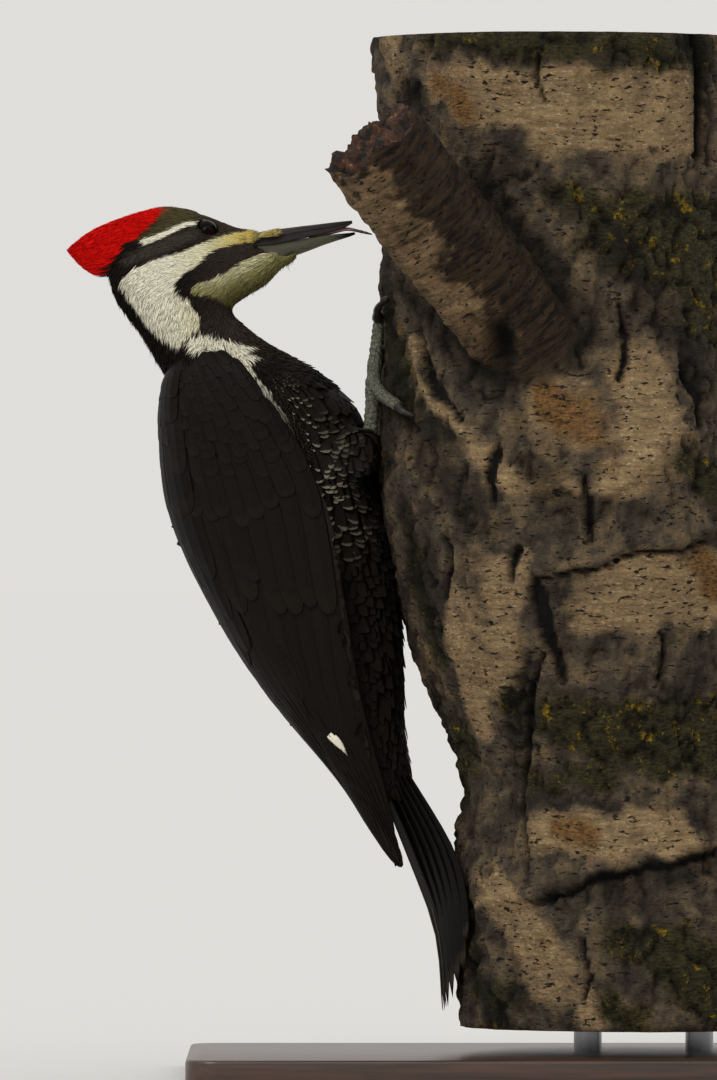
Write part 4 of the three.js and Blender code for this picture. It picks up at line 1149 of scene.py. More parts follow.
def dress_wing(side, uv_of, finish, rng):
    """Lays the folded wing's feathers in their rows, and the white bases of the outer primaries that show
    between."""
    rows = wing_rows(rng)
    share = np.linspace(0, 1, STEPS)
    a = rows[:, 0, None] + (rows[:, 2] - rows[:, 0])[:, None] * share
    c = rows[:, 1, None] + (rows[:, 3] - rows[:, 1])[:, None] * share
    a, c = np.clip(a, 0.015, 0.992), np.clip(c, 0.0, 1.0)
    path, up = wing_place(side, a, c), wing_up(side, a, c)
    rise = rows[:, 5, None] + (rows[:, 6] - rows[:, 5])[:, None] * share
    path = path + up * (rise - COAT_DEPTH["wing"])[..., None] * MM
    tone = 1 + rng.normal(0, 0.07, (len(rows), 1))
    # The wing's black is darker than the body's: painted shade over the folded wing
    colour = np.where(rows[:, 7:8] > 0, BROWN_BLACK, BLACK) * tone * 0.62
    uv = uv_of(path[:, 0])
    for word, pick in {"coverts": rows[:, 7] < 2, "primaries": rows[:, 7] == 2}.items():
        laid(f"wing_{word}_{WORD[side]}", QUILL, path[pick], up[pick], rows[pick, 4] * MM, 0.35 * MM,
             colour[pick], colour[pick] * 1.08, finish, uv[pick], tilt=-0.35 * MM * side,
             droop=0.04, rim=0.015)
    a = np.array([0.680, 0.676, 0.678])[:, None] + np.array([0.018, 0.028, 0.022])[:, None] * share
    c = np.array([0.635, 0.675, 0.715])[:, None] + np.array([0.10, 0.085, 0.045])[:, None] * share
    path, up = wing_place(side, a, c), wing_up(side, a, c)
    path = path + up * (0.5 + 0.5 * share - COAT_DEPTH["wing"] + 0.6)[:, None] * MM
    white = np.tile(WHITE, (3, 1))
    laid("wing_white_" + WORD[side], BARB_TUFT, path, up, np.array([1.2, 1.4, 1.2]) * MM, 0.3 * MM, white,
         white, finish, uv_of(path[:, 0]))


def log_centre(z):
    """The x of the leaning trunk's middle at a height."""
    return LOG_FOOT_X - LOG_LEAN * (z - LOG_BOTTOM)


def dress_tail(finish, rng):
    """Twelve stiff pointed feathers in a roof-shaped fan whose tips press on the bark."""
    share = np.linspace(0, 1, STEPS)
    paths, ups, halves = [], [], []
    for pair in range(6):
        tip_z = TAIL_TIP_Z + TAIL_TIP_STEP[pair]
        lift = 6.6 - 0.75 * pair
        for side in (RIGHT, LEFT):
            def sideways(z):
                spread = TAIL_SPREAD * (TAIL_ROOT[1] - z) / (TAIL_ROOT[1] - TAIL_TIP_Z)
                return side * (pair + 0.5) * (TAIL_ROOT_HALF + spread)

            def on_bark(z):
                reach = float(log_reach(0.0, z)) + lift
                return (log_centre(z) - math.sqrt(reach**2 - sideways(z) ** 2), sideways(z), z)

            rest_z = TAIL_BEND[1] + (tip_z - TAIL_BEND[1]) * 0.5
            path = along([
                (TAIL_ROOT[0] + TAIL_ROOT_STEP * pair, sideways(TAIL_ROOT[1]), TAIL_ROOT[1]),
                (TAIL_BEND[0] + TAIL_BEND_STEP * pair, sideways(TAIL_BEND[1]), TAIL_BEND[1]),
                on_bark(rest_z), on_bark(tip_z)], share)
            up = path - np.stack([log_centre(path[:, 2]) + 30 * (1 - share), 0 * share, path[:, 2]], 1)
            paths.append(path * MM)
            ups.append(unit(up * np.array([1, 1, 0])))
            halves.append((10.5 - 0.4 * pair) * MM)
    path, up = np.array(paths), np.array(ups)
    tone = 1 + rng.normal(0, 0.05, (len(path), 1))
    # Near black, darker than the body's black: painted shade over the tail
    colour = linear("#0e0c0a") * tone
    uv = np.column_stack([np.linspace(0.05, 0.95, len(path)), np.full(len(path), 0.985)])
    laid("tail_feathers", TAIL_QUILL, path, up, np.array(halves), 0.9 * MM, colour, colour * 1.15,
         finish, uv, droop=0.22, rim=0.12, stands_for=["tail"])
    path, up, colour, uv = (rows[:SHAFT_COUNT] for rows in (path, up, colour, uv))
    # Pale along the shafts, fading to the tail's black at the tips: a painted highlight
    shaft = np.tile(linear("#5a5347"), (SHAFT_COUNT, 1))
    laid("tail_shaft_highlights", QUILL, path + up * 0.75 * MM, up, 0.32 * MM, 0.35 * MM, shaft, colour,
         finish, uv)


def dress_body(mesh, tree, node_at, uv_of, finishes, rng):
    """Roots the tufts and vanes over the whole skin and lays each tract as its own piece."""
    root, kind = spread_roots(mesh, node_at, rng)
    _, up, _, _ = onto(tree, root)
    underwing = kind == TRACT_NAMES.index("underwing")
    bare = underwing & (root[:, 2] < UNDERWING_END * MM)
    bare |= (root[:, 2] < VENT_Z * MM) & (root[:, 0] > VENT_X * MM)
    for side in (RIGHT, LEFT):
        _, wing_out, _, gap = onto(wing_cover(side), root)
        facing = (wing_out * up).sum(1)
        bare |= (gap < WING_GAP * MM) & (facing > 0.1) & (root[:, 2] < WING_TOP * MM)
        bare |= (gap < UNDERWING_GAP * MM) & (facing > -0.7) & underwing
        eye = np.array([EYE_X, side * (EYE_SIDE + EYE_BARE_OUT), EYE_Z]) * MM
        bare |= np.linalg.norm(root - eye, axis=1) < EYE_BARE * MM
    for half in ("bill_upper", "bill_lower"):
        spot, out, _, gap = onto(tree_of(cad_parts[half].data), root)
        bare |= (((root - spot) * out).sum(1) < BILL_SUNK * MM) & (gap < BILL_GAP * MM)
    root, kind = root[~bare], kind[~bare]
    sizes = neighbourly(root, np.array([TRACTS[n][1:5] for n in TRACT_NAMES])[kind])
    for number, name in enumerate(TRACT_NAMES):
        start, cut = root[kind == number], TRACTS[name][5]
        length, half, thick, lift = sizes[kind == number].T * MM
        count = len(start)
        lengths = length * (1 + rng.normal(0, 0.12, count).clip(-0.3, 0.3))
        turn = rng.normal(0, math.radians(6), count)
        path, up = walk(tree, start, lengths, 6, turn)
        fluff = (1 + rng.normal(0, 0.25, count)).clip(0.4, 1.9)
        path = lifted(path, up, 0.1 * MM, lift * fluff)
        colour = markings(path[:, 3] + rng.normal(0, 0.2 * MM, start.shape))
        tone = 1 + rng.normal(0, 0.2 if name == "throat" else 0.06, (count, 1))
        finish = finishes["fine"] if cut is BARB_TUFT else finishes["vane"]
        # Each tuft is darker at its root: painted shade where the next feathers lie over it
        laid(f"{name}_plumage", cut, path, up, half * (1 + rng.normal(0, 0.1, count)), thick[:, None, None],
             colour * tone * 0.92, colour * tone * 1.08, finish, uv_of(start), rim=fringes(start))


def bristles(name, root, way, up, length, half, lift, colour, finish, uv):
    """Bristly feathers that stand off the skin in a way of their own."""
    share = BARB_TUFT["share"][None, :, None]
    path = root[:, None] + way[:, None] * length[:, None, None] * share
    path = path + up[:, None] * (lift[:, None, None] * share**1.4)
    # Darker at the root than at the tip: painted shade
    laid(name, BARB_TUFT, path, np.repeat(up[:, None], path.shape[1], 1), half, 0.12 * MM, colour * 0.85,
         colour * 1.1, finish, uv)


def cast(tree, start, way):
    """Where rays from start meet a surface, and its normals there. Rays that miss are left out."""
    hits = [tree.ray_cast(Vector(p), Vector(w)) for p, w in zip(start.tolist(), way.tolist())]
    hits = [(*h[:2], i) for i, h in enumerate(hits) if h[0]]
    spots, ups = (np.array([h[i][:] for h in hits]) for i in (0, 1))
    return spots, ups, np.array([h[2] for h in hits])


def dress_face(tree, uv_of, finish, rng):
    """Forward-pointing bristles over the nostrils, and a beard of short untidy ones under the bill and
    chin."""
    bill = {half: tree_of(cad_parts["bill_" + half].data) for half in ("upper", "lower")}

    def combed(name, surface, start, way, wish, length, half, lift, shade):
        root, up, kept = cast(surface, start, way)
        wish = wish[kept]
        along_skin = unit(wish - up * (wish * up).sum(1, keepdims=True) * 0.85)
        colour = shade(root) * (1 + rng.normal(0, 0.14, (len(root), 1)))
        bristles(name, root - up * 0.2 * MM, along_skin, up, rng.uniform(*length, len(root)) * MM, half * MM,
                 rng.uniform(*lift, len(root)) * MM, colour, finish, uv_of(root))

    def nasal(root):
        high = smooth(362, 364.2, root[:, 2] / MM)[:, None]
        return linear("#b3a463") * (1 - high) + linear("#80765a") * high

    for name, surface, count, near in (("nostril", bill["upper"], 1300, (-136.5, -124.0)),
                                       ("lore", tree, 420, (-140.5, -133.0))):
        x = rng.uniform(*near, count)
        low = np.interp(x, [-141, -134, -122], [358.6, 359.0, 361.4])
        side = np.where(np.arange(count) % 2, LEFT, RIGHT)
        start = np.stack([x, side * 30.0, rng.uniform(low, 364.4)], 1) * MM
        wish = np.stack([np.ones(count), 0.06 * side, rng.normal(0.13, 0.1, count)], 1)
        combed(f"{name}_bristles", surface, start, np.stack([0 * x, -side, 0 * x], 1), unit(wish),
               (3.0, 6.0), 0.15, (0.1, 0.9), nasal)
    for name, surface, count, near, lengths in (("beard", bill["lower"], 1800, (-127, -113.2), (3.0, 5.5)),
                                                ("chin", tree, 1500, (-146, -115), (2.5, 4.6))):
        x = rng.uniform(*near, count)
        lean = rng.uniform(-1.1, 1.1, count)
        low = np.interp(x, [-143, -128, -114], [332, 343, 352])
        way = unit(np.stack([0 * x, -np.sin(lean), np.cos(lean)], 1))
        start = np.stack([x, 0 * x, low + 4], 1) * MM - way * 30 * MM
        wish = unit(np.stack([rng.normal(-0.75, 0.35, count), 0.1 * np.sin(lean),
                              -0.7 - 0.3 * rng.random(count)], 1))
        combed(f"{name}_bristles", surface, start, way, wish, lengths, 0.14, (0.3, 1.5),
               lambda root: markings(root + np.array([-0.002, 0, -0.001])))


def make_bird():
    """The skin, and all the feathers on it."""
    rng = np.random.default_rng(SEED)
    outer = make_skin()
    node_at = node_finder()
    place, up = places_of(outer), normals_of(outer)
    node = node_at(place)
    depth = blurred(outer, np.array([COAT_DEPTH[n] for n in node]), 6)
    place = place - up * depth[:, None] * MM
    x, z = place[:, 0] / MM, place[:, 2] / MM
    jaw = smooth(-132.5, -129.5, x) * smooth(-0.6, 0.6, z - np.interp(x, [-132, -113.5], [354.6, 352.2]))
    place[:, 1] *= 1 - JAW_NARROWING * jaw
    place[:, 0] -= smooth(142, 118, z) * smooth(-78, -60, x) * VENT_PULL * MM
    move_to(outer, place)
    tree = tree_of(outer)
    uv_of = unwrap_places(outer)
    finishes = {
        "fine": plumage_material("soft_barb_plumage", 0.7, 2.2, 0.25, "#8b8672"),
        "vane": plumage_material("vaned_plumage", 0.62, 2.6, 0.4, "#a39d86"),
        "quill": plumage_material("stiff_quill_plumage", 0.5, 2.6, 0.5, "#6b5d4c"),
    }
    dress_body(outer, tree, node_at, uv_of, finishes, rng)
    dress_face(tree, uv_of, finishes["fine"], rng)
    for side in (RIGHT, LEFT):
        dress_wing(side, uv_of, finishes["quill"], rng)
    dress_tail(finishes["quill"], rng)
    keep_numbers(outer, "plumage", "FLOAT_COLOR",
                 np.column_stack([markings(places_of(outer), 0.8) * 0.8, np.ones(len(place))]))
    show("skin", outer, [skin_material()], FLESH)


# ---------------------------------------------------------------- bill, tongue, eyes

# Half outlines of the bill's cross sections, as (across, height): a ridge on top, a shelf that runs from the
# nostril toward the tip, straight sides, and a sharp cutting edge over a flat palate
UPPER_OUTLINE = [
    (0, 1), (0.13, 0.97), (0.28, 0.82), (0.44, 0.56), (0.6, 0.34), (0.72, 0.24), (0.76, 0.14), (0.73, 0.0),
    (0.78, -0.3), (0.9, -0.66), (1, -0.95), (0.95, -1), (0.75, -0.9), (0.35, -0.84), (0, -0.82),
]
LOWER_OUTLINE = [
    (0, -1), (0.16, -0.96), (0.36, -0.8), (0.58, -0.5), (0.75, -0.12), (0.86, 0.35), (0.92, 0.8), (0.9, 1),
    (0.72, 0.92), (0.35, 0.86), (0, 0.85),
]


def bill_half(name, sections, outline, finish, node):
    """One half of the bill: a ridged, straight-sided, chisel-ended wedge of horn."""
    steps = 31
    across, height = np.array(outline + [(-a, h) for a, h in outline[-2:0:-1]]).T
    share = np.linspace(0, 1, steps)
    rows = along(sections, share)
    back, front, half = rows[:, None, :2], rows[:, None, 2:4], rows[:, 4, None]
    place = (back + front) / 2 + (back - front) / 2 * height[:, None]
    fine = 1 - 0.35 * share[:, None] * (np.abs(across) < 0.8)  # the shelf fades toward the tip
    rings = np.stack([place[..., 0], half * across * fine, place[..., 1]], -1)
    mesh = mesh_from(loft(rings * MM))
    near = ((places_of(mesh)[:, None] - (rings * MM).reshape(1, -1, 3)) ** 2).sum(2).argmin(1)
    worn = np.clip((np.abs(height) - 0.55) / 0.45, 0, 1) * (np.abs(across) < 0.5)
    wear = np.stack(np.broadcast_arrays(share[:, None], worn[None], 0.0), -1).reshape(-1, 3)[near]
    keep_numbers(mesh, "wear", "FLOAT_VECTOR", wear)
    show(name, mesh, [finish], [node])


def make_tongue():
    """The tongue's barbed horny tip shows past the open bill."""
    t = np.linspace(0, 1, 22)
    path = along(TONGUE_PATH, t)
    ahead = unit(np.gradient(path, axis=0))
    radius = np.interp(t, [0, 0.5, 0.93, 1], [0.95, 0.8, 0.42, 0.12])
    turn = np.linspace(0, 2 * math.pi, 13)[:-1]
    rings = []
    for (x, z), (ax, az), r, share in zip(path, ahead, radius, t):
        barb = 1 + (0.25 if share > 0.7 and int(share * 60) % 2 else 0)
        rings.append([(x - az * r * barb * math.cos(w), r * math.sin(w), z + ax * r * barb * math.cos(w))
                      for w in turn])
    mesh = mesh_from(loft(np.array(rings) * MM))
    keep_numbers(mesh, "out", "FLOAT", smooth(-93, -87, places_of(mesh)[:, 0] / MM))
    show("tongue_tip", mesh, [tongue_material()], ["tongue"])


def make_eye(side, glass, lid_skin):
    """A glass eye with a raised clear dome, and a thin bare wrinkled lid round it."""
    facing = unit(np.array([0.10, side, 0.02]))
    right = unit(np.cross(facing, [0, 0, 1.0]))
    top = np.cross(right, facing)
    centre = np.array([EYE_X, side * EYE_SIDE, EYE_Z])
    shape = bmesh.new()
    bmesh.ops.create_uvsphere(shape, u_segments=40, v_segments=24, radius=EYE_RADIUS)
    rows = np.array([v.co[:] for v in shape.verts])
    rows = rows + unit(rows) * (0.3 * smooth(4.2, 4.95, rows[:, 2]))[:, None]
    ball = centre + rows[:, :1] * right + rows[:, 1:2] * top + rows[:, 2:] * facing
    for v, place in zip(shape.verts, ball):
        v.co = place * MM
    bmesh.ops.recalc_face_normals(shape, faces=shape.faces)
    mesh = mesh_from(shape)
    keep_numbers(mesh, "from_pupil", "FLOAT", np.where(rows[:, 2] > 0, np.hypot(rows[:, 0], rows[:, 1]), 9))
    word = WORD[side]
    show("glass_eye_" + word, mesh, [glass], ["eye_" + word])
    # From the thin inner margin over the rim, down to the feathers and back under: size of the ring, and
    # height over the ball
    profile = [(0.99, -0.2), (1.0, 0.06), (1.04, 0.16), (1.12, 0.18), (1.22, 0.08), (1.34, -0.1),
               (1.5, -0.35), (1.62, -0.9), (1.3, -0.7)]
    rings = []
    for j in range(56):
        turn = 2 * math.pi * j / 56
        corner = 1 + 0.13 * (abs(math.cos(turn)) ** 10)
        wrinkle = 1 + 0.012 * math.sin(17 * turn) + 0.008 * math.sin(29 * turn)
        ring = []
        for size, over in profile:
            grown = 1 + (size - 1) * wrinkle
            u, v = LID_OPENING[0] * grown * corner * math.cos(turn), LID_OPENING[1] * grown * math.sin(turn)
            out = math.sqrt(max(0.1, EYE_RADIUS**2 - u * u - v * v)) + over
            ring.append(centre + right * u + top * v + facing * out)
        rings.append(ring)
    lid = loft(np.array(rings) * MM)
    bmesh.ops.delete(lid, geom=[f for f in lid.faces if len(f.verts) > 4], context="FACES_ONLY")
    bmesh.ops.bridge_loops(lid, edges=[e for e in lid.edges if e.is_boundary])
    bmesh.ops.recalc_face_normals(lid, faces=lid.faces)
    show("eyelid_ring_" + word, mesh_from(lid), [lid_skin])


# ---------------------------------------------------------------- feet

def make_feet():
    """Leathery zygodactyl feet: two toes forward, one out and one behind, ringed with scutes, and curved
    claws."""
    finish = bare_skin_material("scaled_foot_skin", "#7f8070", "#2c2b25", 1.5, 0.75)
    horn = claw_material()
    for side in (RIGHT, LEFT):
        word = WORD[side]
        mesh = remeshed(cad_copy(["foot_" + word], 0.12 * MM), 0.5 * MM)
        relax(mesh, 4)
        place, up = places_of(mesh), normals_of(mesh)
        low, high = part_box("foot_" + word)
        ankle = np.array([low.x, (low.y + high.y) / 2, low.z * 0.45 + high.z * 0.55])
        reach = np.linalg.norm(place - ankle, axis=1) / MM
        scute = np.abs(np.sin(math.pi * reach / 2.3)) ** 0.6 * 0.55 - 0.15
        bumps = np.array([noise.noise(Vector(p * 500)) for p in place]) * 0.22
        move_to(mesh, place + up * ((scute + bumps) * MM)[:, None])
        show("scaled_foot_" + word, mesh, [finish], ["foot_" + word])
        for toe in ("inner", "middle", "outer", "hind"):
            node = f"claw_{toe}_{word}"
            claw = cad_copy([node], 0.12 * MM)
            bmesh.ops.subdivide_edges(claw, edges=claw.edges, cuts=2, use_grid_fill=True, smooth=1.0)
            soften(claw, claw.verts)
            show(f"horn_{node}", mesh_from(claw), [horn], [node])


def claw_material():
    """Claw horn: smooth, dark and hard, a little paler where it is worn."""
    made, tree, horn = material("claw_horn")
    place = add(tree, "TexCoord")
    wear = add(tree, "TexNoise", {"Vector": place.outputs["Object"], "Scale": 1 / (1.6 * MM), "Detail": 3.0})
    tone = add(tree, "Mix", {"Factor": wear.outputs[0], "A": rgba("#0e0c0b"), "B": rgba("#332c28")},
               data_type="RGBA")
    rough = add(tree, "MapRange", {"Value": wear.outputs[0], "To Min": 0.25, "To Max": 0.5})
    tree.links.new(tone.outputs["Result"], horn.inputs["Base Color"])
    tree.links.new(rough.outputs[0], horn.inputs["Roughness"])
    horn.inputs["Specular IOR Level"].default_value = 0.25
    return made


# ---------------------------------------------------------------- perch

# Bark features as strokes over the trunk's right side, each point an x, a z and a half width
MOSS = [
    [(-58, 447, 5), (-20, 444, 8), (20, 443, 9), (58, 440, 11)],
    [(-4, 377, 4), (22, 368, 9), (62, 366, 12)],
    [(10, 356, 5), (32, 350, 9), (66, 345, 14)],
    [(56, 330, 8), (64, 318, 6)],
    [(54, 264, 6), (64, 255, 8)],
    [(-20, 160, 5), (4, 152, 10), (30, 146, 15), (66, 146, 19)],
    [(-12, 128, 4), (20, 128, 6)],
    [(24, 62, 6), (44, 52, 13), (64, 44, 18)],
    [(20, 34, 5), (32, 24, 5)],
    [(-24, 36, 6), (-19, 34, 6)],
    [(-76, 330, 5), (-70, 300, 6), (-66, 284, 5)],
    [(-66, 232, 5), (-60, 205, 5), (-50, 180, 4)],
    [(-50, 116, 4), (-47, 98, 4)],
    [(-40, 70, 4), (-34, 42, 4), (-28, 24, 4)],
]
RIND = [
    [(-50, 424, 9), (-4, 413, 17), (50, 411, 18)],
    [(-74, 440, 6), (-70, 428, 6)],
    [(-4, 288, 11), (8, 278, 8)],
    [(32, 300, 11), (38, 276, 13), (24, 254, 8)],
    [(-44, 202, 7), (-38, 178, 8), (-35, 154, 8)],
    [(-24, 214, 8), (-26, 190, 7), (-24, 168, 6)],
    [(14, 204, 12), (40, 208, 15), (64, 210, 16)],
    [(-8, 107, 7), (16, 104, 9), (48, 107, 9)],
    [(-33, 86, 5), (-20, 68, 11), (-6, 46, 12)],
    [(10, 36, 5), (15, 24, 6)],
    [(-66, 315, 1.5), (-60, 302, 2.2), (-49, 284, 2.6), (-33, 266, 2.2), (-29, 255, 1.5)],
    [(-31, 258, 1.5), (-14, 253, 2.4), (6, 252, 1.8)],
]
DUSK = [  # deep shade, damp and old soot
    [(-76, 352, 5), (-77, 335, 8), (-74, 312, 9), (-74, 286, 9), (-76, 262, 7)],
    [(-76, 358, 4), (-60, 334, 6), (-44, 314, 7), (-31, 300, 9), (-10, 305, 9), (6, 314, 6)],
    [(-38, 388, 2), (-18, 363, 3.2), (0, 340, 4.5), (9, 322, 7)],
    [(-72, 296, 7), (-60, 276, 10), (-46, 254, 9), (-38, 240, 6)],
    [(-66, 240, 8), (-60, 214, 9), (-52, 190, 6)],
    [(-14, 264, 4), (-2, 246, 5), (14, 244, 4)],
    [(59, 446, 5), (62, 410, 6), (61, 396, 5)],
    [(20, 360, 4), (40, 330, 7), (60, 300, 7)],
    [(-42, 78, 5), (-38, 58, 6), (-32, 38, 5), (-27, 22, 6)],
    [(-16, 182, 3), (-19, 150, 4), (-19, 116, 3)],
    [(-68, 424, 8), (-62, 416, 7)],
    [(-6, 80, 2), (20, 82, 4), (62, 94, 5)],
    [(-54, 166, 4), (-50, 140, 5), (-47, 104, 5)],
]
CRACKS = [
    [(58, 447, 1.5), (60, 425, 2.8), (59, 394, 2.0)],
    [(-12, 215, 0.8), (-9.5, 205, 2.6), (-6.2, 190, 3.1), (-1, 176, 2.4), (1, 169, 0.8)],
    [(-8.8, 182, 0.7), (-14, 160, 1.2), (-16.5, 114, 1.0), (-14, 86, 0.6)],
    [(9, 257, 1.0), (10, 244, 1.9), (9, 231, 1.3)],
    [(-21.5, 226, 1.2), (-22, 213, 1.1)],
    [(-29, 268, 1.4), (-31, 258, 2.0), (-29, 245, 1.3)],
    [(-63, 320, 1.0), (-56, 299, 1.6), (-43, 280, 1.4)],
    [(50, 304, 1.4), (57, 292, 2.2), (59, 279, 1.0)],
    [(-12, 214, 0.5), (20, 220, 0.9), (62, 230, 0.7)],
    [(-14, 77, 0.5), (4, 80, 1.2), (26, 88, 1.6), (64, 98, 1.8)],
    [(-10, 440, 0.5), (-12, 428, 1.0), (-8, 417, 0.5)],
    [(40, 191, 0.6), (44, 182, 1.3), (42, 171, 0.6)],
    [(-52, 232, 0.6), (-49, 220, 1.3), (-50, 206, 0.7)],
    [(24, 330, 0.8), (28, 316, 1.6), (24, 300, 0.8)],
    [(8, 60, 0.6), (12, 46, 1.2), (8, 34, 0.7)],
]
KNOTS = [  # x, z, radius, depth of the hollow (minus stands out)
    (-23, 388, 13, 2.2), (-45, 107, 5, -2.5), (-32, 88, 6, -2.2), (-65, 422, 8, -1.5),
    (14, 184, 2.2, 1.6), (60, 190, 2.6, 1.4), (-20, 35, 7, -2.2), (30, 330, 5, -1.6), (38, 396, 2.5, 1.0),
]
PIT, PIT_DEPTH = (-26.5, 312, 6.5, 12), 9  # a rotted hole under the branch: x, z, half width, half height
FOLDS = [  # raised folds of old bark under the branch
    [(-66, 315, 1.6), (-60, 302, 2.2), (-49, 284, 2.6), (-33, 266, 2.4), (-29, 255, 1.6)],
    [(-31, 258, 1.6), (-14, 253, 2.4), (6, 252, 2.0)],
    [(62, 300, 2.6), (46, 274, 3.2), (18, 250, 2.6)],
    [(-12, 217, 1.4), (20, 224, 2.0), (62, 234, 2.0)],
    [(-34, 74, 1.6), (10, 84, 2.6), (64, 102, 3.0)],
]
RUST = [
    [(-8, 290, 6), (2, 284, 9), (12, 276, 6)], [(-42, 326, 4), (-36, 318, 4)], [(-50, 424, 6), (-40, 414, 5)],
    [(28, 30, 3), (36, 20, 4)], [(58, 222, 5), (66, 214, 6)], [(-2, 110, 4), (10, 104, 5)],
]


def log_reach(turn, z):
    """The trunk's radius at a turn from the bird's side toward the right, and a height."""
    burl = np.maximum(0, 0.45 + 0.55 * np.cos(turn - math.radians(35))) * np.exp(-(((z - 252) / 72) ** 2))
    facing = 0.5 + 0.5 * np.cos(turn)
    ledge, waist = facing * np.exp(-(((z - 341) / 13) ** 2)), facing * np.exp(-(((z - 127) / 34) ** 2))
    return LOG_RADIUS + np.sin(5 * turn + z / 60) + 18.5 * burl + 5 * ledge - 11.5 * waist


def unrolled(strokes):
    """Strokes given by x and z, laid out by their distance round the trunk from the bird's side."""
    turns = np.linspace(0, math.pi, 181)

    def around(x, z):
        return float(np.interp(x, log_centre(z) - log_reach(turns, z) * np.cos(turns), turns) * LOG_RADIUS)

    return [[(around(x, z), z, *rest) for x, z, *rest in stroke] for stroke in strokes]


def scattered_strokes(rng, count, length, half, rough):
    """Seeded strokes for the trunk's other sides, which the listed ones leave out."""
    made = []
    for _ in range(count):
        u, z = rng.uniform(-LOG_RADIUS * LOG_ROUND, -10), rng.uniform(LOG_BOTTOM, LOG_TOP)
        stroke = []
        for _ in range(3):
            stroke.append((u, z, half * rng.uniform(0.5, 1.2)))
            u, z = u + rng.normal(0, rough), z + length * rng.uniform(0.3, 0.6)
        made.append(stroke)
    return made


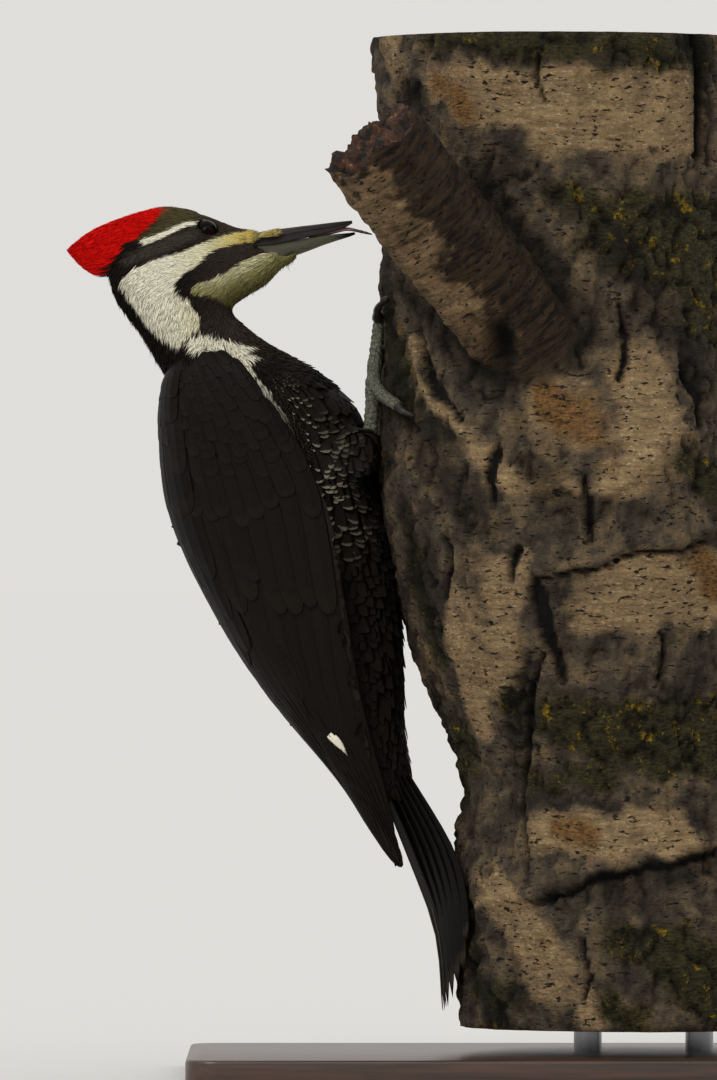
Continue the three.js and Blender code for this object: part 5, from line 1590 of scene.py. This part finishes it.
def make_perch():
    """Trunk and broken branch in one, with folds, cracks, knots and moss, sawn flat at both ends."""
    rng = np.random.default_rng(SEED + 1)
    mesh = remeshed(cad_copy(["perch_log", "perch_stub"], 0.25 * MM), BARK_VOXEL * MM)
    relax(mesh, 5)
    place, up = places_of(mesh) / MM, normals_of(mesh)
    for level in (LOG_TOP, LOG_BOTTOM):
        place[np.abs(place[:, 2] - level) < 1.5, 2] = level

    # Where each place is on the trunk and on the branch
    root, end = np.array(STUB_ROOT, float), np.array(STUB_END, float)
    axis = unit(end - root)
    out = place[:, :2] - np.stack([log_centre(place[:, 2]), 0 * place[:, 2]], 1)
    turn = np.arctan2(-out[:, 1], -out[:, 0])
    proud = np.hypot(out[:, 0], out[:, 1]) - log_reach(turn, place[:, 2])
    flat = np.stack([turn * LOG_RADIUS, place[:, 2]], 1)
    from_root = place - root
    run = from_root @ axis
    off_axis = np.linalg.norm(from_root - run[:, None] * axis, axis=1)
    near_limb = smooth(44, 40, off_axis)
    limb = near_limb * smooth(1.0, 4.5, proud) * smooth(14, 40, run)
    gap = np.maximum(off_axis - np.interp(run, *BRANCH_WIDTH), 0)
    crease = near_limb * smooth(26, 48, run) * np.exp(-(gap**2 + np.maximum(proud, 0) ** 2) / 2.4**2)
    trunk = 1 - limb
    from_end = np.minimum(LOG_TOP - place[:, 2], place[:, 2] - LOG_BOTTOM)
    sawn = (np.abs(up[:, 2]) > 0.8) & (from_end < 3)
    inner = smooth(0, 5, from_end)
    broken = smooth(0.45, 0.7, up @ axis) * smooth(121, 127, run) * (off_axis < 36)

    def octaves(scale, detail, offset=0.0):
        rows = place * np.array(scale) + offset
        return np.array([noise.fractal(Vector(p), 0.9, 2.0, detail) for p in rows])

    wander = np.stack([octaves((0.06, 0.06, 0.06), 3), octaves((0.06, 0.06, 0.06), 3, 50.0)], 1) * 3.0

    def painted(strokes, extra, soft, blur=0.0):
        where = flat + wander * (0.8 + blur)
        marked = sum(smooth(-soft, soft * 0.6, near_stroke(where, s)) for s in unrolled(strokes) + extra)
        return np.clip(marked, 0, 1)

    # How much of each mark there is at each place
    moss = painted(MOSS, scattered_strokes(rng, 14, 40, 11, 20), 5, 1.0)
    rind = painted(RIND, scattered_strokes(rng, 18, 50, 12, 18), 5, 1.0)
    dusk = painted(DUSK, scattered_strokes(rng, 14, 45, 7, 16), 5, 0.6)
    rust = painted(RUST, scattered_strokes(rng, 5, 15, 6, 8), 4, 1.0) * trunk
    crack = painted(CRACKS, scattered_strokes(rng, 18, 26, 1.6, 4), 0.8) * trunk
    fold = painted(FOLDS, scattered_strokes(rng, 10, 60, 3, 16), 2.6) * trunk
    hollow, knot = np.zeros(len(place)), np.zeros(len(place))
    spots = unrolled([[spot] for spot in KNOTS])
    spots += [[(rng.uniform(-240, -20), rng.uniform(40, 430), rng.uniform(4, 9), rng.uniform(-2.5, 2))]
              for _ in range(9)]
    for [(u, z, r, deep)] in spots:
        off = flat + wander * 0.7 - (u, z)
        reach = np.hypot(off[:, 0], off[:, 1] * 1.45) / r
        hollow += np.exp(-(reach**2)) * deep * trunk
        hollow -= 1.4 * np.exp(-(((reach - 1.35) / 0.3) ** 2)) * trunk
        knot = np.maximum(knot, smooth(1.15, 0.7, reach) * trunk)

    # The bark's relief on the trunk, then on the branch and its broken end
    rough = np.clip(0.55 + 0.6 * moss - 0.5 * rind + 0.5 * knot + 0.3 * dusk, 0.08, 1)
    swell = octaves((0.02, 0.02, 0.014), 2)
    cells = octaves((0.075, 0.075, 0.05), 3, 7.0)
    crevice = np.exp(-((cells / 0.11) ** 2)) * rough
    crumbs = octaves((0.24, 0.24, 0.2), 3)
    bands = octaves((0.05, 0.05, 0.36), 3)
    height = 2.2 * swell + rough * (1.6 * crumbs + 1.6 * np.abs(cells)) - 2.2 * crevice
    height += (1 - rough) * 0.7 * bands
    height += 2.4 * fold - 3.6 * crack - hollow
    height -= 1.8 * crease * trunk
    pit = np.hypot((place[:, 0] - PIT[0]) / PIT[2], (place[:, 2] - PIT[1]) / PIT[3])
    pit = np.exp(-(pit**4)) * (turn > 0)
    round_limb = unit(np.cross(axis, [0, 0, 1]))
    tilted = from_root @ np.stack([round_limb, np.cross(axis, round_limb)], 1)
    rings = np.array([noise.fractal(Vector((r * 0.24, w[0] * 0.03, w[1] * 0.03)), 0.8, 2.0, 3)
                      for r, w in zip(run, tilted)])
    height = height * trunk + limb * (0.9 * rings + 0.8 * crumbs + 1.2 * swell)
    chunks = octaves((0.14, 0.14, 0.1), 4, 9.0)
    height = height * (1 - broken) + broken * (8.0 * chunks - 2.5)
    under_foot = smooth(266, 276, place[:, 2]) * smooth(344, 334, place[:, 2])
    under_foot *= smooth(0.95, 0.75, np.abs(turn))
    height = np.clip(height, BARK_RISE[0], BARK_RISE[1] - FOOT_ROOM * under_foot)
    height[sawn] = 0
    height -= PIT_DEPTH * pit
    moved = place + up * height[:, None] * np.stack([np.ones(len(place))] * 2 + [inner], 1)
    moved[:, 2] = np.clip(moved[:, 2], LOG_BOTTOM, LOG_TOP)
    move_to(mesh, moved * MM)

    # What the bark's material reads
    # Painted shade: near black in the cracks, the pit and the deep hollows; the knots add their own dark
    dark = np.clip(crack + pit + smooth(2.0, 5.0, hollow) + 0.6 * knot * (0.55 + crumbs), 0, 1)
    # Painted light and shade: darker under the dusk strokes, in the crevices and in the crease round the
    # branch, lighter on raised crumbs and folds
    light = 1 - 0.62 * dusk * trunk - 0.7 * crevice * trunk - 0.75 * crease
    light = light * (0.82 + 0.25 * np.clip(crumbs * rough + 0.4 * fold, -0.6, 1.2))
    # The branch is darker than the trunk, and paler with less of that darkening on its lower side toward its
    # end
    branch_z = np.interp(place[:, 0], [STUB_END[0], STUB_ROOT[0]], [STUB_END[2], STUB_ROOT[2]])
    under = branch_z - place[:, 2] + 14 * crumbs + 5 * wander[:, 0]
    under = smooth(4, 18, under) * smooth(30, 70, run)
    rind = np.clip(rind * trunk * (1 - 0.8 * knot) + limb * 0.5 * under, 0, 1)
    light = light * (1 - limb * (1 - broken) * (0.74 - 0.62 * under))
    moss = moss * trunk * (1 - 0.7 * knot)
    keep_numbers(mesh, "bark_marks", "FLOAT_VECTOR", np.stack([rind, moss, dark], 1))
    keep_numbers(mesh, "bark_looks", "FLOAT_VECTOR",
                 np.stack([np.clip(rust + 0.9 * broken, 0, 1), limb, np.clip(light, 0.12, 1.15)], 1))

    # Which faces are bark, sawn wood or broken wood
    corners = fields(mesh.loops, "vertex_index", 1)[:, 0]
    first = fields(mesh.polygons, "loop_start", 1)[:, 0]
    kind = np.where(np.add.reduceat(sawn[corners].astype(float), first) >= 3, 1, 0)
    kind[np.add.reduceat(broken[corners], first) > 1.8] = 2
    upright = Vector(axis).rotation_difference(Vector((0, 0, 1))).to_euler()
    looks = [
        bark_material(tuple(upright)),
        wood_material("sawn_aspen_end", "#9c8260", "#c9b48c", 3.4, 0.75),
        wood_material("rotten_broken_wood", "#3a2416", "#8a5a30", 3.0, 0.92, rot=1.0),
    ]
    show("bark_trunk", mesh, looks, ["perch_log", "perch_stub"])
    mesh.polygons.foreach_set("material_index", kind.astype(np.int32))
    mesh.update()


# ---------------------------------------------------------------- stand, room, camera

def make_stand():
    """A plain lacquered board with rounded corners and two steel rods up into the trunk."""
    low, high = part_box("stand_base")
    size, middle = high - low, (high + low) / 2
    board = bmesh.new()
    bmesh.ops.create_cube(board, size=1, matrix=Matrix.Translation(middle) @ Matrix.Diagonal((*size, 1)))
    upright = [e for e in board.edges if abs(e.verts[0].co.z - e.verts[1].co.z) > size.z / 2]
    bmesh.ops.bevel(board, geom=upright, offset=14 * MM, affect="EDGES", segments=14, profile=0.5,
                    material=-1)
    rims = [e for e in board.edges if abs(e.verts[0].co.z - e.verts[1].co.z) < 1e-6 and len(e.link_faces) == 2
            and any(abs(f.normal.z) > 0.9 for f in e.link_faces)
            and any(abs(f.normal.z) < 0.1 for f in e.link_faces)]
    bmesh.ops.bevel(board, geom=rims, offset=1.5 * MM, affect="EDGES", segments=4, profile=0.5, material=-1)
    piece = show("stand_board", mesh_from(board), [stained_board_material()],
                 ["stand_base"])
    piece.data.set_sharp_from_angle(angle=math.radians(40))
    steel = steel_material()
    for word in ("left", "right"):
        node = "stand_rod_" + word
        low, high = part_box(node)
        rod = bmesh.new()
        radius = (high.x - low.x) / 2
        bmesh.ops.create_cone(rod, cap_ends=True, segments=48, radius1=radius, radius2=radius,
                              depth=high.z - low.z, matrix=Matrix.Translation((low + high) / 2))
        rims = [e for e in rod.edges if abs(e.verts[0].co.z - e.verts[1].co.z) < 1e-6]
        bmesh.ops.bevel(rod, geom=rims, offset=0.5 * MM, affect="EDGES", segments=2, profile=0.5, material=-1)
        piece = show("steel_" + node, mesh_from(rod), [steel], [node])
        piece.data.set_sharp_from_angle(angle=math.radians(40))


def make_room():
    """A pale floor under an even pale room, a broad soft light from the upper left, and the camera level
    with the bird."""
    floor = bmesh.new()
    bmesh.ops.create_grid(floor, x_segments=1, y_segments=1, size=60)
    mesh = mesh_from(floor, rounded=False)
    mesh.materials.append(plain_material("studio_paper", "#d2d1cf"))
    ground = into_scene("floor", mesh)
    world = bpy.data.worlds.new("pale_room")
    world.use_nodes = True
    world.node_tree.nodes["Background"].inputs["Color"].default_value = rgba("#ebe9e6")
    world.node_tree.nodes["Background"].inputs["Strength"].default_value = 0.9
    bpy.context.scene.world = world
    lamps = {  # where from, spread in degrees and strength
        "window": ((-1.0, -1.5, 1.6), 34, 1.5),
        "fill": ((1.6, 1.4, 1.3), 60, 0.5),
    }
    for name, (offset, spread, power) in lamps.items():
        light = bpy.data.lights.new(name, "SUN")
        light.angle = math.radians(spread)
        light.energy = power
        lamp = into_scene(name, light)
        lamp.rotation_euler = (-Vector(offset)).to_track_quat("-Z", "Y").to_euler()
    camera = bpy.data.cameras.new("camera")
    camera.sensor_fit = "AUTO"
    camera.sensor_width = 36
    camera.lens = 465
    camera.clip_start, camera.clip_end = 0.1, 100
    eye = into_scene("camera", camera)
    eye.location = (-0.0866, -6.0, 0.230)
    eye.rotation_euler = (math.radians(90), 0, 0)
    bpy.context.scene.camera = eye
    bpy.context.scene.view_settings.view_transform = "Standard"


make_room()
make_stand()
make_perch()
make_bird()
upper_horn = horn_material("dark_bill_horn", "#161212", "#4d4243", "#100d0d", 0.4)
lower_horn = horn_material("olive_bill_horn", "#59584a", "#8b8976", "#12100f", 0.42)
bill_half("horn_bill_upper", UPPER_BILL, UPPER_OUTLINE, upper_horn, "bill_upper")
bill_half("horn_bill_lower", LOWER_BILL, LOWER_OUTLINE, lower_horn, "bill_lower")
make_tongue()
eye_glass = eye_material()
eyelid_skin = bare_skin_material("wrinkled_eyelid", "#100e0c", "#080706", 0.4, 0.95)
for eye_side in (RIGHT, LEFT):
    make_eye(eye_side, eye_glass, eyelid_skin)
make_feet()
